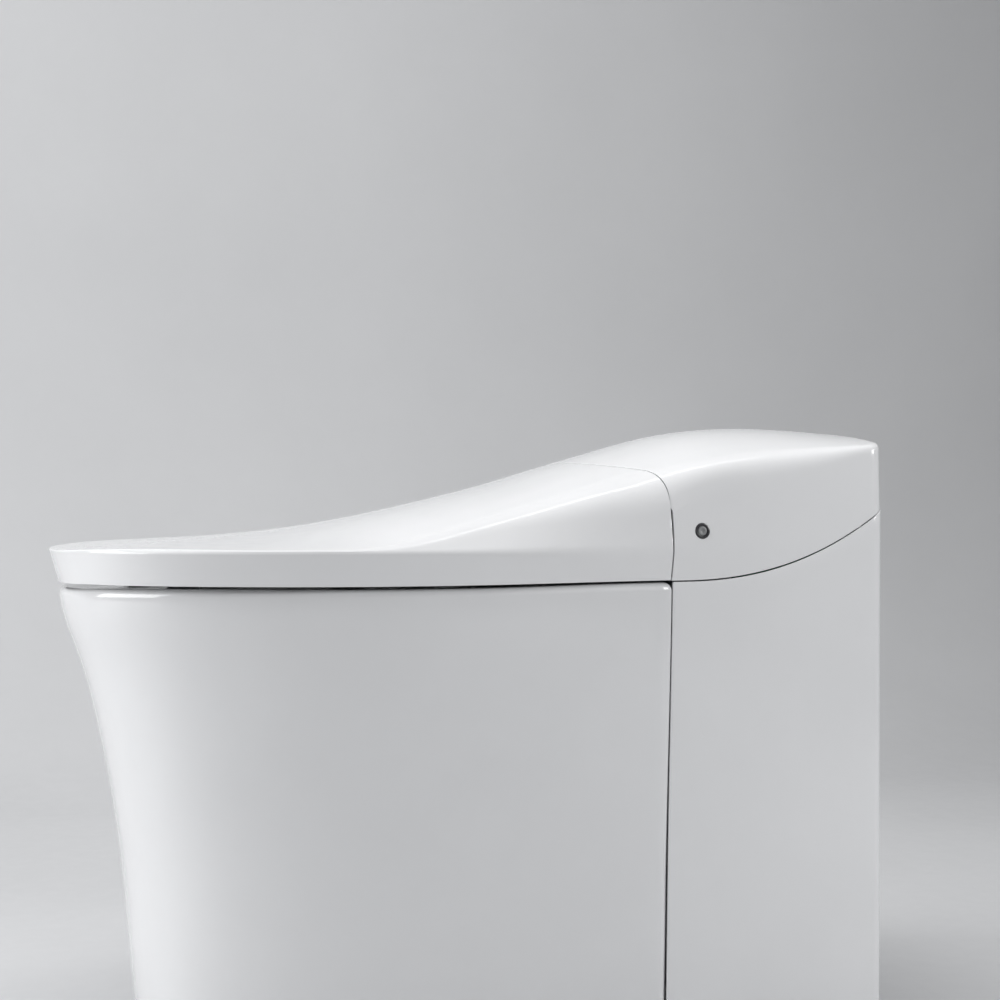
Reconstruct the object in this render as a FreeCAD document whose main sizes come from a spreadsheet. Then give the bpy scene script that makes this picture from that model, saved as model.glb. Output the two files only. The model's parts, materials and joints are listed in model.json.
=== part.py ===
import FreeCAD, Part
import Sketcher
import math
import os
from FreeCAD import Vector, Rotation, Placement

# Smart toilet with heated seat.  Millimetres, +Z up, front at -Y, rear wall side
# at +Y.  The origin lies on the floor under the middle of the bounding box.

doc = FreeCAD.newDocument("smart_toilet")
sheet = doc.addObject("Spreadsheet::Sheet", "sizes")
VALUES = {}


def cell(alias, value):
    row = len(VALUES) + 1
    sheet.set("A%d" % row, alias)
    sheet.set("B%d" % row, repr(round(float(value), 4)))
    sheet.setAlias("B%d" % row, alias)
    VALUES[alias] = float(value)
    return alias


def S(alias):
    return VALUES[alias]


# driving dimensions --------------------------------------------------------
for name, value in (
        ("tip_y", -355.0), ("rear_y", 355.0), ("wide_y", -80.0),
        ("crease_half", 210.0), ("crease_height", 425.0),
        ("skirt_half", 205.5), ("skirt_tip_y", -344.4), ("side_seam_half", 190.0),
        ("rear_half", 183.0), ("seam_y", 156.0), ("seam_centre_y", 110.0),
        ("seam_bow", 11.0), ("seam_power", 2.27), ("seam_gap", 1.4),
        ("skin_thick", 3.0), ("plan_power", 2.5), ("rear_corner", 12.0),
        ("hinge_y", 184.0), ("hinge_z", 476.0),
        ("china_wall", 12.0), ("rim_thick", 16.0), ("deck_height", 322.0),
        ("recess_half", 112.0), ("recess_front_y", 60.0), ("rear_block_half", 128.0),
        ("trap_radius", 26.0), ("trap_wall", 8.0), ("outlet_y", 62.0),
        ("foot_hole_x", 144.0), ("foot_hole_y", 240.0), ("foot_hole_radius", 5.5),
        ("seat_low", 399.0), ("seat_split", 406.0), ("seat_high", 416.0),
        ("seat_half", 191.0), ("seat_tip_y", -334.0), ("seat_open_half", 108.0),
        ("seat_open_long", 145.0), ("seat_open_y", -112.0),
        ("liner_low", 419.5), ("liner_high", 422.0),
        ("shaft_radius", 6.0), ("stub_radius", 5.0), ("running_gap", 0.05),
        ("wand_radius", 9.5), ("wand_tilt", 25.0), ("wand_y", 114.0), ("wand_z", 369.0),
        ("wand_long", 120.0), ("gear_module", 1.0), ("gear_teeth", 16.0),
        ("inlet_radius", 10.478), ("button_y", 183.0), ("button_z", 441.0)):
    cell(name, value)

OUT = []          # the sub-parts that are written out


def keep(obj, label):
    obj.Label = label
    OUT.append(obj)
    return obj


def bind(obj, prop, alias):
    obj.setExpression(prop, "sizes." + alias)


def place(obj, tag, pos):
    for axis, value in zip("xyz", pos):
        bind(obj, "Placement.Base." + axis, cell("%s_%s" % (tag, axis + "pos"), value))


def box(tag, low, high):
    b = doc.addObject("Part::Box", tag)
    for prop, suffix, k in (("Length", "len", 0), ("Width", "wid", 1), ("Height", "high", 2)):
        bind(b, prop, cell("%s_%s" % (tag, suffix), high[k] - low[k]))
    place(b, tag, low)
    return b


AXIS = {"x": Rotation(Vector(0, 0, 1), Vector(1, 0, 0)),
        "y": Rotation(Vector(0, 0, 1), Vector(0, 1, 0)),
        "z": Rotation()}


def rod(tag, base, radius, length, axis="z"):
    c = doc.addObject("Part::Cylinder", tag)
    bind(c, "Radius", cell(tag + "_rad", radius))
    bind(c, "Height", cell(tag + "_long", length))
    c.Placement = Placement(Vector(0, 0, 0), AXIS[axis])
    place(c, tag, base)
    return c


def cut(tag, base, tool):
    c = doc.addObject("Part::Cut", tag)
    c.Base, c.Tool = base, tool
    return c


def fuse(tag, *items):
    c = doc.addObject("Part::MultiFuse", tag)
    c.Shapes = list(items)
    return c


def feature(tag, shape):
    f = doc.addObject("Part::Feature", tag)
    f.Shape = shape
    f.Placement = Placement()
    return f


# smooth curves ---------------------------------------------------------------
def spline(table):
    xs = [p[0] for p in table]
    ys = [p[1] for p in table]
    n = len(xs)
    h = [xs[i + 1] - xs[i] for i in range(n - 1)]
    al, lo, mu, zz = [0.0] * n, [1.0] * n, [0.0] * n, [0.0] * n
    for i in range(1, n - 1):
        al[i] = 3 * ((ys[i + 1] - ys[i]) / h[i] - (ys[i] - ys[i - 1]) / h[i - 1])
        lo[i] = 2 * (xs[i + 1] - xs[i - 1]) - h[i - 1] * mu[i - 1]
        mu[i] = h[i] / lo[i]
        zz[i] = (al[i] - h[i - 1] * zz[i - 1]) / lo[i]
    c = [0.0] * n
    b = [0.0] * n
    d = [0.0] * n
    for j in range(n - 2, -1, -1):
        c[j] = zz[j] - mu[j] * c[j + 1]
        b[j] = (ys[j + 1] - ys[j]) / h[j] - h[j] * (c[j + 1] + 2 * c[j]) / 3
        d[j] = (c[j + 1] - c[j]) / (3 * h[j])

    def f(x):
        x = min(max(x, xs[0]), xs[-1])
        k = 0
        while k < n - 2 and x > xs[k + 1]:
            k += 1
        t = x - xs[k]
        return ys[k] + b[k] * t + c[k] * t * t + d[k] * t ** 3
    return f


top_centre = spline([(-362, 424), (-300, 430), (-200, 435.9), (-100, 449), (-50, 459), (0, 470.3),
                     (50, 483), (100, 498), (156, 514.3), (200, 526), (250, 533.2),
                     (300, 534.0), (362, 529)])
ridge_level = spline([(-362, 424), (-300, 426.2), (-200, 426.8), (-150, 428), (-100, 431), (-50, 441),
                      (0, 453), (50, 465), (100, 477.5), (156, 490), (200, 499.5),
                      (250, 506), (300, 511), (340, 515), (362, 517)])
ridge_half = spline([(-362, 210), (-200, 206), (-100, 196), (0, 187), (50, 185), (100, 185),
                     (156, 184), (200, 182.5), (300, 179.5), (362, 178)])
top_lean = spline([(-362, 0.8), (-80, 0.8), (0, 0.72), (50, 0.46), (100, 0.22), (156, 0.1), (362, 0.04)])


def plan_half(y, half, tip, seam_half, rear_half):
    ym = S("wide_y")
    if y <= ym:
        q = min(1.0, abs(y - ym) / (ym - tip))
        return half * (1 - q ** S("plan_power")) ** (1 / S("plan_power"))
    span = S("rear_y") - ym
    k = math.log((seam_half - rear_half) / (half - rear_half)) / math.log(
        1 - ((S("seam_y") - ym) / span) ** 2)
    return rear_half + (half - rear_half) * (1 - min(1.0, (y - ym) / span) ** 2) ** k


def plan_wire(z, half, tip, seam_half, rear_half, y_end, corner, lean=0.0):
    # closed outline at one level: side and front as one smooth curve, the rear
    # edge straight with two round corners
    ym = S("wide_y")
    n = S("plan_power")

    def wide(y):
        return plan_half(y, half, tip, seam_half, rear_half) - (top_lean(y) * lean if lean else 0.0)
    right = []
    y0 = y_end - corner
    steps = 9
    for i in range(steps):
        y = y0 + (ym - y0) * i / steps
        right.append((wide(y), y))
    a = ym - tip
    for i in range(0, 9):
        phi = math.pi / 2 * i / 9
        y = ym - a * math.sin(phi) ** (2 / n)
        x = half * math.cos(phi) ** (2 / n) - (top_lean(y) * lean if lean else 0.0)
        right.append((x, y))
    tip_y = tip
    pts = [Vector(x, y, z) for x, y in right] + [Vector(0, tip_y, z)] + \
          [Vector(-x, y, z) for x, y in reversed(right)]
    curve = Part.BSplineCurve()
    curve.interpolate(pts)
    xs = right[0][0]
    r = corner
    s = r * (1 - math.sqrt(0.5))
    left = Part.Arc(Vector(-xs, y0, z), Vector(-xs + s, y_end - s, z), Vector(-xs + r, y_end, z)).toShape()
    back = Part.LineSegment(Vector(-xs + r, y_end, z), Vector(xs - r, y_end, z)).toShape()
    rite = Part.Arc(Vector(xs - r, y_end, z), Vector(xs - s, y_end - s, z), Vector(xs, y0, z)).toShape()
    return Part.Wire([curve.toShape(), left, back, rite])


def head_wire(z, t, rise):
    # outline above the crease, leaning inward more at the front than at the rear
    ym = S("wide_y")
    n = S("plan_power")
    right = []
    y_end = S("rear_y") - t
    corner = S("rear_corner") - 0.6 * t
    y0 = y_end - corner
    for i in range(12):
        y = y0 + (ym - y0) * i / 12
        right.append((plan_half(y, S("crease_half") - t, S("tip_y") + t, S("side_seam_half") - t,
                                S("rear_half") - t) - top_lean(y) * rise, y))
    half = S("crease_half") - t - 0.8 * rise
    a = ym - (S("tip_y") + t) - 0.8 * rise
    for i in range(0, 9):
        phi = math.pi / 2 * i / 9
        right.append((half * math.cos(phi) ** (2 / n), ym - a * math.sin(phi) ** (2 / n)))
    pts = [Vector(x, y, z) for x, y in right] + [Vector(0, ym - a, z)] + \
          [Vector(-x, y, z) for x, y in reversed(right)]
    curve = Part.BSplineCurve()
    curve.interpolate(pts)
    xs = right[0][0]
    r = corner
    s = r * (1 - math.sqrt(0.5))
    left = Part.Arc(Vector(-xs, y0, z), Vector(-xs + s, y_end - s, z), Vector(-xs + r, y_end, z)).toShape()
    back = Part.LineSegment(Vector(-xs + r, y_end, z), Vector(xs - r, y_end, z)).toShape()
    rite = Part.Arc(Vector(xs - r, y_end, z), Vector(xs - s, y_end - s, z), Vector(xs, y0, z)).toShape()
    return Part.Wire([curve.toShape(), left, back, rite])


def crown_solid(lower_by):
    # everything under the domed top surface
    rows = []
    ys = [-362, -330, -300, -265, -230, -195, -160, -130, -100, -70, -40, -10, 20, 50, 80, 110,
          140, 170, 200, 230, 260, 290, 325, 362]
    xs = [-216 + 24 * i for i in range(19)]
    for x in xs:
        row = []
        for y in ys:
            zc, zr, xr = top_centre(y), ridge_level(y), ridge_half(y)
            row.append(Vector(x, y, zc - (zc - zr) * (x / xr) ** 2 - lower_by))
        rows.append(row)
    surf = Part.BSplineSurface()
    surf.interpolate(rows)
    return surf.toShape().extrude(Vector(0, 0, -330))


def body_solid(t, low):
    # the full drafted and domed upper body, inset by t
    z0 = S("crease_height")
    k = (z0 - low) / 27.5
    foot = plan_wire(low, S("crease_half") - t - (S("crease_half") - S("skirt_half")) * k,
                     S("tip_y") + t + (S("skirt_tip_y") - S("tip_y")) * k,
                     S("side_seam_half") - t, S("rear_half") - t, S("rear_y") - t, S("rear_corner") - 0.6 * t)
    crease2 = plan_wire(z0, S("crease_half") - t, S("tip_y") + t, S("side_seam_half") - t,
                        S("rear_half") - t, S("rear_y") - t, S("rear_corner") - 0.6 * t)
    lower = Part.makeLoft([foot, crease2], True, True)
    upper = Part.makeLoft([crease2, head_wire(z0 + 120, t, 120.0)], True, True)
    return lower, upper


def seam_at(x):
    return S("seam_centre_y") + S("seam_bow") * (min(abs(x), 190.0) / 100.0) ** S("seam_power")


def seam_region(shift, front, z0=300.0, z1=600.0, far=420.0):
    # all that lies in front of (or behind) the bowed seam, moved by shift
    pts = []
    for i in range(-10, 11):
        x = 19.0 * i
        pts.append(Vector(x, seam_at(x) + shift, z0))
    curve = Part.BSplineCurve()
    curve.interpolate(pts)
    yf = -far if front else far
    a, b = pts[0], pts[-1]
    edges = [curve.toShape(),
             Part.LineSegment(b, Vector(260, b.y, z0)).toShape(),
             Part.LineSegment(Vector(260, b.y, z0), Vector(260, yf, z0)).toShape(),
             Part.LineSegment(Vector(260, yf, z0), Vector(-260, yf, z0)).toShape(),
             Part.LineSegment(Vector(-260, yf, z0), Vector(-260, a.y, z0)).toShape(),
             Part.LineSegment(Vector(-260, a.y, z0), a).toShape()]
    return Part.Face(Part.Wire(edges)).extrude(Vector(0, 0, z1 - z0))


def profile_region(table, z_far):
    # all that lies between a curve z(y) and a far level, across the width
    pts = [Vector(-260, y, z) for y, z in table]
    curve = Part.BSplineCurve()
    curve.interpolate(pts)
    a, b = pts[0], pts[-1]
    c, d = Vector(-260, b.y, z_far), Vector(-260, a.y, z_far)
    edges = [curve.toShape(), Part.LineSegment(b, c).toShape(), Part.LineSegment(c, d).toShape(),
             Part.LineSegment(d, a).toShape()]
    return Part.Face(Part.Wire(edges)).extrude(Vector(520, 0, 0))


def largest(shape):
    solids = sorted(shape.Solids, key=lambda q: q.Volume)
    return solids[-1]


def brick(x0, x1, y0, y1, z0, z1):
    return Part.makeBox(x1 - x0, y1 - y0, z1 - z0, Vector(x0, y0, z0))


# levels along the length ---------------------------------------------------
LID_FOOT = [(-420, 394.5), (-345, 395.0), (-300, 396.6), (-200, 397.9), (0, 397.9), (130, 399.2), (260, 399.2)]
RIM = [(-420, 387.5), (-346, 388.5), (-300, 391.8), (-200, 395.0), (0, 395.2), (130, 397.3), (260, 397.3)]


def panel_level(y):
    return 399.0 + 18.2 * (max(0.0, y - 165.0) / 112.0) ** 2.3


g = S("seam_gap") / 2
hull_lower, hull_upper = body_solid(0.0, 380.0)
inner_lower, inner_upper = body_solid(S("skin_thick"), 376.0)
hull = hull_lower.fuse(hull_upper.common(crown_solid(0.0)))
inner = inner_lower.fuse(inner_upper.common(crown_solid(S("skin_thick"))))
lid_zone = seam_region(-g, True)
rear_zone = seam_region(g, False)
under_lid = profile_region(LID_FOOT, 360.0)

# lid ---------------------------------------------------------------------------
lid_skin = hull.common(lid_zone).cut(under_lid).cut(inner)
lid_skin = largest(lid_skin)
keep(feature("lid_shell_skin", lid_skin), "lid_shell")

liner_plate = Part.Face(plan_wire(S("liner_low"), S("crease_half") - 20, S("tip_y") + 20, 174.0, 168.0,
                                  330.0, 10.0)).extrude(Vector(0, 0, S("liner_high") - S("liner_low")))
liner_plate = liner_plate.common(seam_region(-3.0, True))
bulk = inner.common(seam_region(-6.0, True)).cut(seam_region(-8.5, True)).common(
    brick(-166, 166, 0, 200, S("liner_low"), 540))
liner = liner_plate.fuse(bulk).removeSplitter()
keep(feature("lid_liner_dish", largest(liner)), "lid_liner")

# housing -------------------------------------------------------------------------
panel_cut = profile_region([(100, 399.0), (150, 399.0), (165, 399.0), (185, panel_level(185)), (205, panel_level(205)),
                            (230, panel_level(230)), (260, panel_level(260)), (290, panel_level(290)),
                            (320, panel_level(320)), (345, panel_level(345)), (375, panel_level(375))], 360.0)
cover = hull.common(rear_zone).cut(panel_cut).cut(inner)
by, bz = S("button_y"), S("button_z")
cover = cover.cut(Part.makeCylinder(5.7, 30, Vector(170, by, bz), Vector(1, 0, 0)))
# a round relief at both front corners, so that the lid's side walls swing past
relief = Part.makeCylinder(28.6, 40, Vector(0, S("hinge_y"), S("hinge_z")), Vector(1, 0, 0))
for side in (1, -1):
    low = 181.4 if side > 0 else -205.0
    corner = brick(low, low + 23.6, 150, 172, 470, 505)
    disc = relief.copy()
    disc.translate(Vector(175 if side > 0 else -215, 0, 0))
    cover = cover.cut(corner.cut(disc))
keep(feature("housing_cover_skin", largest(cover)), "housing_cover")

fascia = inner.common(seam_region(2.2, False)).cut(seam_region(5.0, False))
fascia = fascia.common(brick(-156, 156, 100, 200, 399.6, 540))
apron = seam_region(2.2, False).cut(seam_region(5.0, False)).common(brick(-104, 104, 100, 200, 328, 399.6))
fascia = fascia.fuse(apron).removeSplitter()
tilt = math.radians(S("wand_tilt"))
WD = Vector(0, math.cos(tilt), math.sin(tilt))       # along the wand, towards the rear
WN = Vector(0, -math.sin(tilt), math.cos(tilt))      # upward normal of the wand
W0 = Vector(0, S("wand_y"), S("wand_z"))


def wand_at(s, n=0.0, x=0.0):
    return W0 + WD * s + WN * n + Vector(x, 0, 0)


fascia = fascia.cut(Part.makeCylinder(S("wand_radius") + 1.5, 60, wand_at(-25), WD))
fascia = fascia.cut(brick(-69, -31, 100, 140, 345.5, 384))
for i in range(6):
    fascia = fascia.cut(brick(36 + 6 * i, 39 + 6 * i, 100, 140, 350, 380))
fascia = fascia.cut(Part.makeCylinder(6.05, 60, Vector(0, 90, 445), Vector(0, 1, 0)))
fascia = fascia.cut(brick(-26, 26, 100, 135, 404, 410))
keep(feature("housing_fascia_wall", largest(fascia)), "housing_fascia")


# side panels ------------------------------------------------------------------------
def lower_wire(z, seam_half, rear_half, t):
    y0 = S("seam_y") - 0.6
    y_end = S("rear_y") - t
    r = S("rear_corner") - 0.6 * t
    pts = []
    for i in range(7):
        y = y0 + (y_end - r - y0) * i / 6
        u = (y - y0) / (S("rear_y") - y0)
        pts.append(Vector(rear_half + (seam_half - rear_half) * (1 - u) ** 1.6 - t, y, z))
    curve = Part.BSplineCurve()
    curve.interpolate(pts)
    xs = pts[-1].x
    s = r * (1 - math.sqrt(0.5))
    arc = Part.Arc(pts[-1], Vector(xs - s, y_end - s, z), Vector(xs - r, y_end, z)).toShape()
    p = [Vector(xs - r, y_end, z), Vector(140, y_end, z), Vector(140, y0, z), pts[0]]
    edges = [curve.toShape(), arc] + [Part.LineSegment(p[i], p[i + 1]).toShape() for i in range(3)]
    return Part.Wire(edges)


def lower_solid(t, z0, z1):
    return Part.makeLoft([lower_wire(z0, 172.5 + 17.5 * max(0, z0) / 399.0, 182.0, t),
                          lower_wire(200, 179.5, 182.2, t),
                          lower_wire(z1, 191.32, 183.1, t)], True, False)


panel = lower_solid(0.0, 3.0, 424.0).cut(lower_solid(3.0, 2.0, 425.0))
panel_top = profile_region([(100, 397.8), (150, 397.8), (165, 397.8), (185, panel_level(185) - 1.2),
                            (205, panel_level(205) - 1.2), (230, panel_level(230) - 1.3),
                            (260, panel_level(260) - 1.3), (290, panel_level(290) - 1.3),
                            (320, panel_level(320) - 1.3), (345, panel_level(345) - 1.3),
                            (375, panel_level(375) - 1.3)], 600.0)
panel = panel.cut(panel_top).common(brick(140, 215, 155.4, 360, 0, 520))
panel = largest(panel)
keep(feature("side_panel_r", panel.cut(brick(139, 167, 345, 360, 76, 114))), "side_panel_right")
keep(feature("side_panel_l", panel.mirror(Vector(0, 0, 0), Vector(1, 0, 0))), "side_panel_left")


# china -----------------------------------------------------------------------------
FRONT = [(0.0, -279.0, 170.0, 172.0), (90.0, -287.0, 175.0, 175.5), (172.0, -295.8, 181.0, 178.5),
         (258.0, -311.0, 190.0, 183.0), (333.0, -330.6, 198.5, 187.0), (377.0, -345.0, 203.0, 189.0),
         (400.0, -347.0, 204.0, 190.0)]


def pan_solid(t, z_low, z_high):
    wires = []
    for z, tip, half, seam in FRONT:
        zz = min(max(z, z_low), z_high)
        wires.append(plan_section(zz if z in (FRONT[0][0], FRONT[-1][0]) else z, tip + t, half - t, seam - t, t))
    return Part.makeLoft(wires, True, False)


def plan_section(z, tip, half, seam, t):
    y_end = 154.5 - t
    ym = -70.0
    n = 2.35
    right = []
    for i in range(7):
        y = y_end + (ym - y_end) * i / 7
        u = (y - ym) / (154.5 - ym)
        right.append((seam + (half - seam) * (1 - u * u), y))
    a = ym - tip
    for i in range(0, 9):
        phi = math.pi / 2 * i / 9
        right.append((half * math.cos(phi) ** (2 / n), ym - a * math.sin(phi) ** (2 / n)))
    pts = [Vector(x, y, z) for x, y in right] + [Vector(0, tip, z)] + \
          [Vector(-x, y, z) for x, y in reversed(right)]
    curve = Part.BSplineCurve()
    curve.interpolate(pts)
    back = Part.LineSegment(pts[-1], pts[0]).toShape()
    return Part.Wire([curve.toShape(), back])


def oval_loft(levels, grow):
    wires = []
    for z, yc, a, b in levels:
        e = Part.Ellipse(Vector(0, yc + a + grow, z), Vector(b + grow, yc, z), Vector(0, yc, z))
        wires.append(Part.Wire([e.toShape()]))
    return Part.makeLoft(wires, True, False)


BASIN = [(402.0, -105.0, 180.0, 141.0), (360.0, -105.0, 176.0, 137.0), (310.0, -104.0, 160.0, 124.0),
         (250.0, -101.0, 128.0, 102.0), (200.0, -98.0, 88.0, 74.0), (160.0, -96.0, 50.0, 45.0),
         (138.0, -95.0, 30.0, 29.0)]


def trap(radius):
    def disc(y, z, normal):
        return Part.Face(Part.Wire([Part.Circle(Vector(0, y, z), normal, radius).toShape()]))
    up, along, ax = Vector(0, 0, 1), Vector(0, 1, 0), Vector(1, 0, 0)
    parts = [Part.makeCylinder(radius, 56, Vector(0, -95, 92), up),
             disc(-95, 92, up).revolve(Vector(0, -53, 92), ax, 90),
             Part.makeCylinder(radius, 7, Vector(0, -53, 50), along),
             disc(-46, 50, along).revolve(Vector(0, -46, 86), ax, 90),
             Part.makeCylinder(radius, 89, Vector(0, -10, 86), up),
             disc(-10, 175, up).revolve(Vector(0, 26, 175), ax, -180),
             Part.makeCylinder(radius, 180, Vector(0, S("outlet_y"), -5), up)]
    solid = parts[0]
    for p in parts[1:]:
        solid = solid.fuse(p)
    return solid


w = S("china_wall")
pan_out = pan_solid(0.0, 0.0, 400.0).cut(profile_region(RIM, 460.0))
pan_in = pan_solid(w, -2.0, 400.0)
pan_in = pan_in.cut(profile_region([(y, z - S("rim_thick")) for y, z in RIM], 460.0))
rb = S("rear_block_half")
deck = S("deck_height")
rh = S("recess_half")
block_out = brick(-rb, rb, 120, 350, 0, deck)
block_in = brick(-rb + 10, rb - 10, 100, 338, -2, deck - 12)
basin_out = oval_loft(BASIN, 11.0).common(pan_out)
trap_out = trap(S("trap_radius") + S("trap_wall"))
web = brick(-16, 16, -10, 62, 40, 175)
sump = Part.makeCylinder(44, 40, Vector(0, -95, 112), Vector(0, 0, 1))
boss = Part.makeCylinder(48, 14, Vector(0, S("outlet_y"), 0), Vector(0, 0, 1))
recess_shell = brick(-rh - 11, rh + 11, S("recess_front_y"), 143, deck - 12, 420)
hollow = pan_in.fuse(block_in)
for solid in (basin_out, trap_out, web, sump, boss, recess_shell):
    hollow = hollow.cut(solid)
china = pan_out.fuse(block_out).cut(hollow)
china = china.cut(oval_loft(BASIN, 0.0)).cut(trap(S("trap_radius")))
china = china.cut(brick(-rh, rh, S("recess_front_y"), 200, deck, 430))
china = china.cut(Part.makeCylinder(40.3, 8, Vector(0, S("outlet_y"), 0), Vector(0, 0, 1)))
for sx in (-1, 1):
    fx, fy = S("foot_hole_x") * sx, S("foot_hole_y")
    ear = brick(min(fx, sx * (rb - 4)) - (16 if sx < 0 else 0), max(fx, sx * (rb - 4)) + (16 if sx > 0 else 0),
                fy - 20, fy + 20, 0, 18)
    china = china.fuse(ear)
for sx in (-1, 1):
    china = china.cut(Part.makeCylinder(S("foot_hole_radius"), 40,
                                        Vector(sx * S("foot_hole_x"), S("foot_hole_y"), -5), Vector(0, 0, 1)))
for sx, sy in ((-115, 172), (115, 172), (-26, 338), (110, 338)):
    china = china.cut(Part.makeCylinder(2.0, 12, Vector(sx, sy, deck - 8), Vector(0, 0, 1)))
china = largest(china)
# the casting in four fields that meet face to face: upper bowl, base with the rear block, trap and outlet leg
outlet_zone = Part.makeCylinder(50, 178, Vector(0, S("outlet_y"), -2), Vector(0, 0, 1))
upper_zone = brick(-260, 260, -400, 100, 200, 460)
lower = china.cut(upper_zone)
leg = lower.common(outlet_zone)
lower = lower.cut(outlet_zone)
pieces = sorted(lower.Solids, key=lambda q: q.Volume)
keep(feature("china_upper_body", largest(china.common(upper_zone))), "china_bowl")
keep(feature("china_base_body", pieces[-1]), "china_base")
keep(feature("china_trap_body", pieces[-2]), "china_trap")
keep(feature("china_outlet_body", largest(leg)), "china_outlet")


# seat -------------------------------------------------------------------------------
def seat_ring(z0, z1, t, hole):
    out = Part.Face(plan_wire(z0, S("seat_half") - t, S("seat_tip_y") + t, 180.0 - t, 178.0 - t, 300.0, 10.0)
                    ).extrude(Vector(0, 0, z1 - z0))
    out = out.common(seam_region(-7.0 - t, True))
    oy = S("seat_open_y")
    e = Part.Ellipse(Vector(0, oy + S("seat_open_long") + hole, z0 - 1),
                     Vector(S("seat_open_half") + hole, oy, z0 - 1), Vector(0, oy, z0 - 1))
    return out.cut(Part.Face(Part.Wire([e.toShape()])).extrude(Vector(0, 0, z1 - z0 + 2)))


arm_slots = brick(159.8, 168.2, 95, 170, 398, 411.3).fuse(brick(-168.2, -159.8, 95, 170, 398, 411.3))
corner_cut = brick(140, 215, 131, 180, 390, 430).fuse(brick(-215, -140, 131, 180, 390, 430))
seat_low = seat_ring(S("seat_low"), S("seat_split"), 0.6, 0.6).cut(arm_slots).cut(corner_cut)
seat_up = seat_ring(S("seat_split"), S("seat_high"), 0.0, 0.0).cut(
    seat_ring(S("seat_split") - 1, 412.0, 9.0, 9.0).cut(
        brick(140, 200, 80, 180, 390, 430)).cut(brick(-200, -140, 80, 180, 390, 430)))
seat_up = seat_up.cut(arm_slots).cut(corner_cut)
foil = seat_ring(411.2, 412.0, 13.0, 13.0).cut(brick(130, 200, 80, 180, 390, 430)).cut(
    brick(-200, -130, 80, 180, 390, 430))
keep(feature("seat_base_tray", largest(seat_low)), "seat_base")
keep(feature("seat_top_skin", largest(seat_up)), "seat_top")
keep(feature("seat_heater_foil", largest(foil)), "seat_heater")

hy, hz = S("hinge_y"), S("hinge_z")


def arm(x0, x1, stem_low, bar_high, front, bore):
    # gooseneck: hub on the hinge line, stem straight down, bar forward
    s = Part.makeCylinder(11, x1 - x0, Vector(x0, hy, hz), Vector(1, 0, 0))
    s = s.fuse(brick(x0, x1, hy - 1, hy + 11, stem_low, hz))
    s = s.fuse(brick(x0, x1, front, hy + 11, stem_low, bar_high))
    return s.cut(Part.makeCylinder(bore, x1 - x0 + 2, Vector(x0 - 1, hy, hz), Vector(1, 0, 0))).removeSplitter()


sr, sg, st = S("shaft_radius"), S("running_gap"), S("stub_radius")
keep(feature("arm_seat_r", arm(160, 168, 400, 411, 98, sr + sg)), "seat_arm_right")
keep(feature("arm_seat_l", arm(-168, -160, 400, 411, 98, sr)), "seat_arm_left")
keep(feature("arm_lid_r", arm(170, 178, 422, 434, 96, sr)), "lid_arm_right")
keep(feature("arm_lid_l", arm(-178, -170, 422, 434, 96, st + sg)), "lid_arm_left")

lid_shaft = rod("lid_drive_shaft_rod", (120, hy, hz), sr, 58.2, "x")
keep(lid_shaft, "lid_drive_shaft")
seat_shaft = fuse("seat_shaft_join", rod("seat_shaft_rod", (-168, hy, hz), sr, 48, "x"),
                  rod("seat_stub_rod", (-179, hy, hz), st, 12, "x"))
keep(seat_shaft, "seat_drive_shaft")

# bumpers: rubber feet under the seat and under the lid -------------------------------
SEAT_PADS = [(165, -60, 395.5), (-165, -60, 395.5), (140, -225, 395.2), (-140, -225, 395.2)]
pads = [box("seat_pad_%d" % i, (x - 7, y - 14, z), (x + 7, y + 14, S("seat_low"))) for i, (x, y, z) in enumerate(SEAT_PADS)]
keep(fuse("seat_pads", *pads), "seat_bumpers")
LID_PADS = [(150, -40), (-150, -40), (118, -235), (-118, -235)]
pads = [rod("lid_pad_%d" % i, (x, y, 416.4), 5, S("liner_low") - 416.4) for i, (x, y) in enumerate(LID_PADS)]
keep(fuse("lid_pads", *pads), "lid_bumpers")

# chassis and hinge carriers ----------------------------------------------------------
plate = fuse("chassis_join", box("chassis_rear", (-176, 158, deck), (176, 346, deck + 5)),
             box("chassis_tongue", (-106, 118, deck), (106, 160, deck + 5)))
holes = fuse("chassis_holes", *[rod("chassis_hole_%d" % i, (x, y, deck - 1), 2.6, 8) for i, (x, y) in enumerate(
    [(-115, 172), (115, 172), (-26, 338), (110, 338)])],
             rod("chassis_hose_hole", (-152, 300, deck - 1), 6.0, 8))
keep(cut("chassis", plate, holes), "chassis_plate")


def bracket(tag, x0, x1, fx0, fx1):
    body = fuse(tag + "_join", box(tag + "_upright", (x0, 163, deck + 5), (x1, 207, 492)),
                box(tag + "_foot", (fx0, 163, deck + 5), (fx1, 207, deck + 11)))
    return cut(tag, body, rod(tag + "_bore", (x0 - 5, hy, hz), sr + sg, (x1 - x0) + 10, "x"))


keep(bracket("bracket_r", 149, 157, 128, 150), "hinge_bracket_right")
keep(bracket("bracket_l", -157, -149, -150, -128), "hinge_bracket_left")
screws = []
for i, (x, y) in enumerate([(135, 172), (135, 198), (-135, 172), (-135, 198)]):
    screws.append(rod("bracket_screw_head_%d" % i, (x, y, deck + 11), 4, 3))
keep(fuse("bracket_screw_group", *screws), "bracket_screws")

drive = cut("lid_drive_cut", rod("lid_drive_can", (62, hy, hz), 16, 87, "x"),
            rod("lid_drive_hole", (118, hy, hz), sr + 0.5, 40, "x"))
keep(drive, "lid_drive")
drive = cut("seat_drive_cut", rod("seat_drive_can", (-149, hy, hz), 16, 87, "x"),
            rod("seat_drive_hole", (-158, hy, hz), sr + 0.5, 40, "x"))
keep(drive, "seat_drive")

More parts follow.
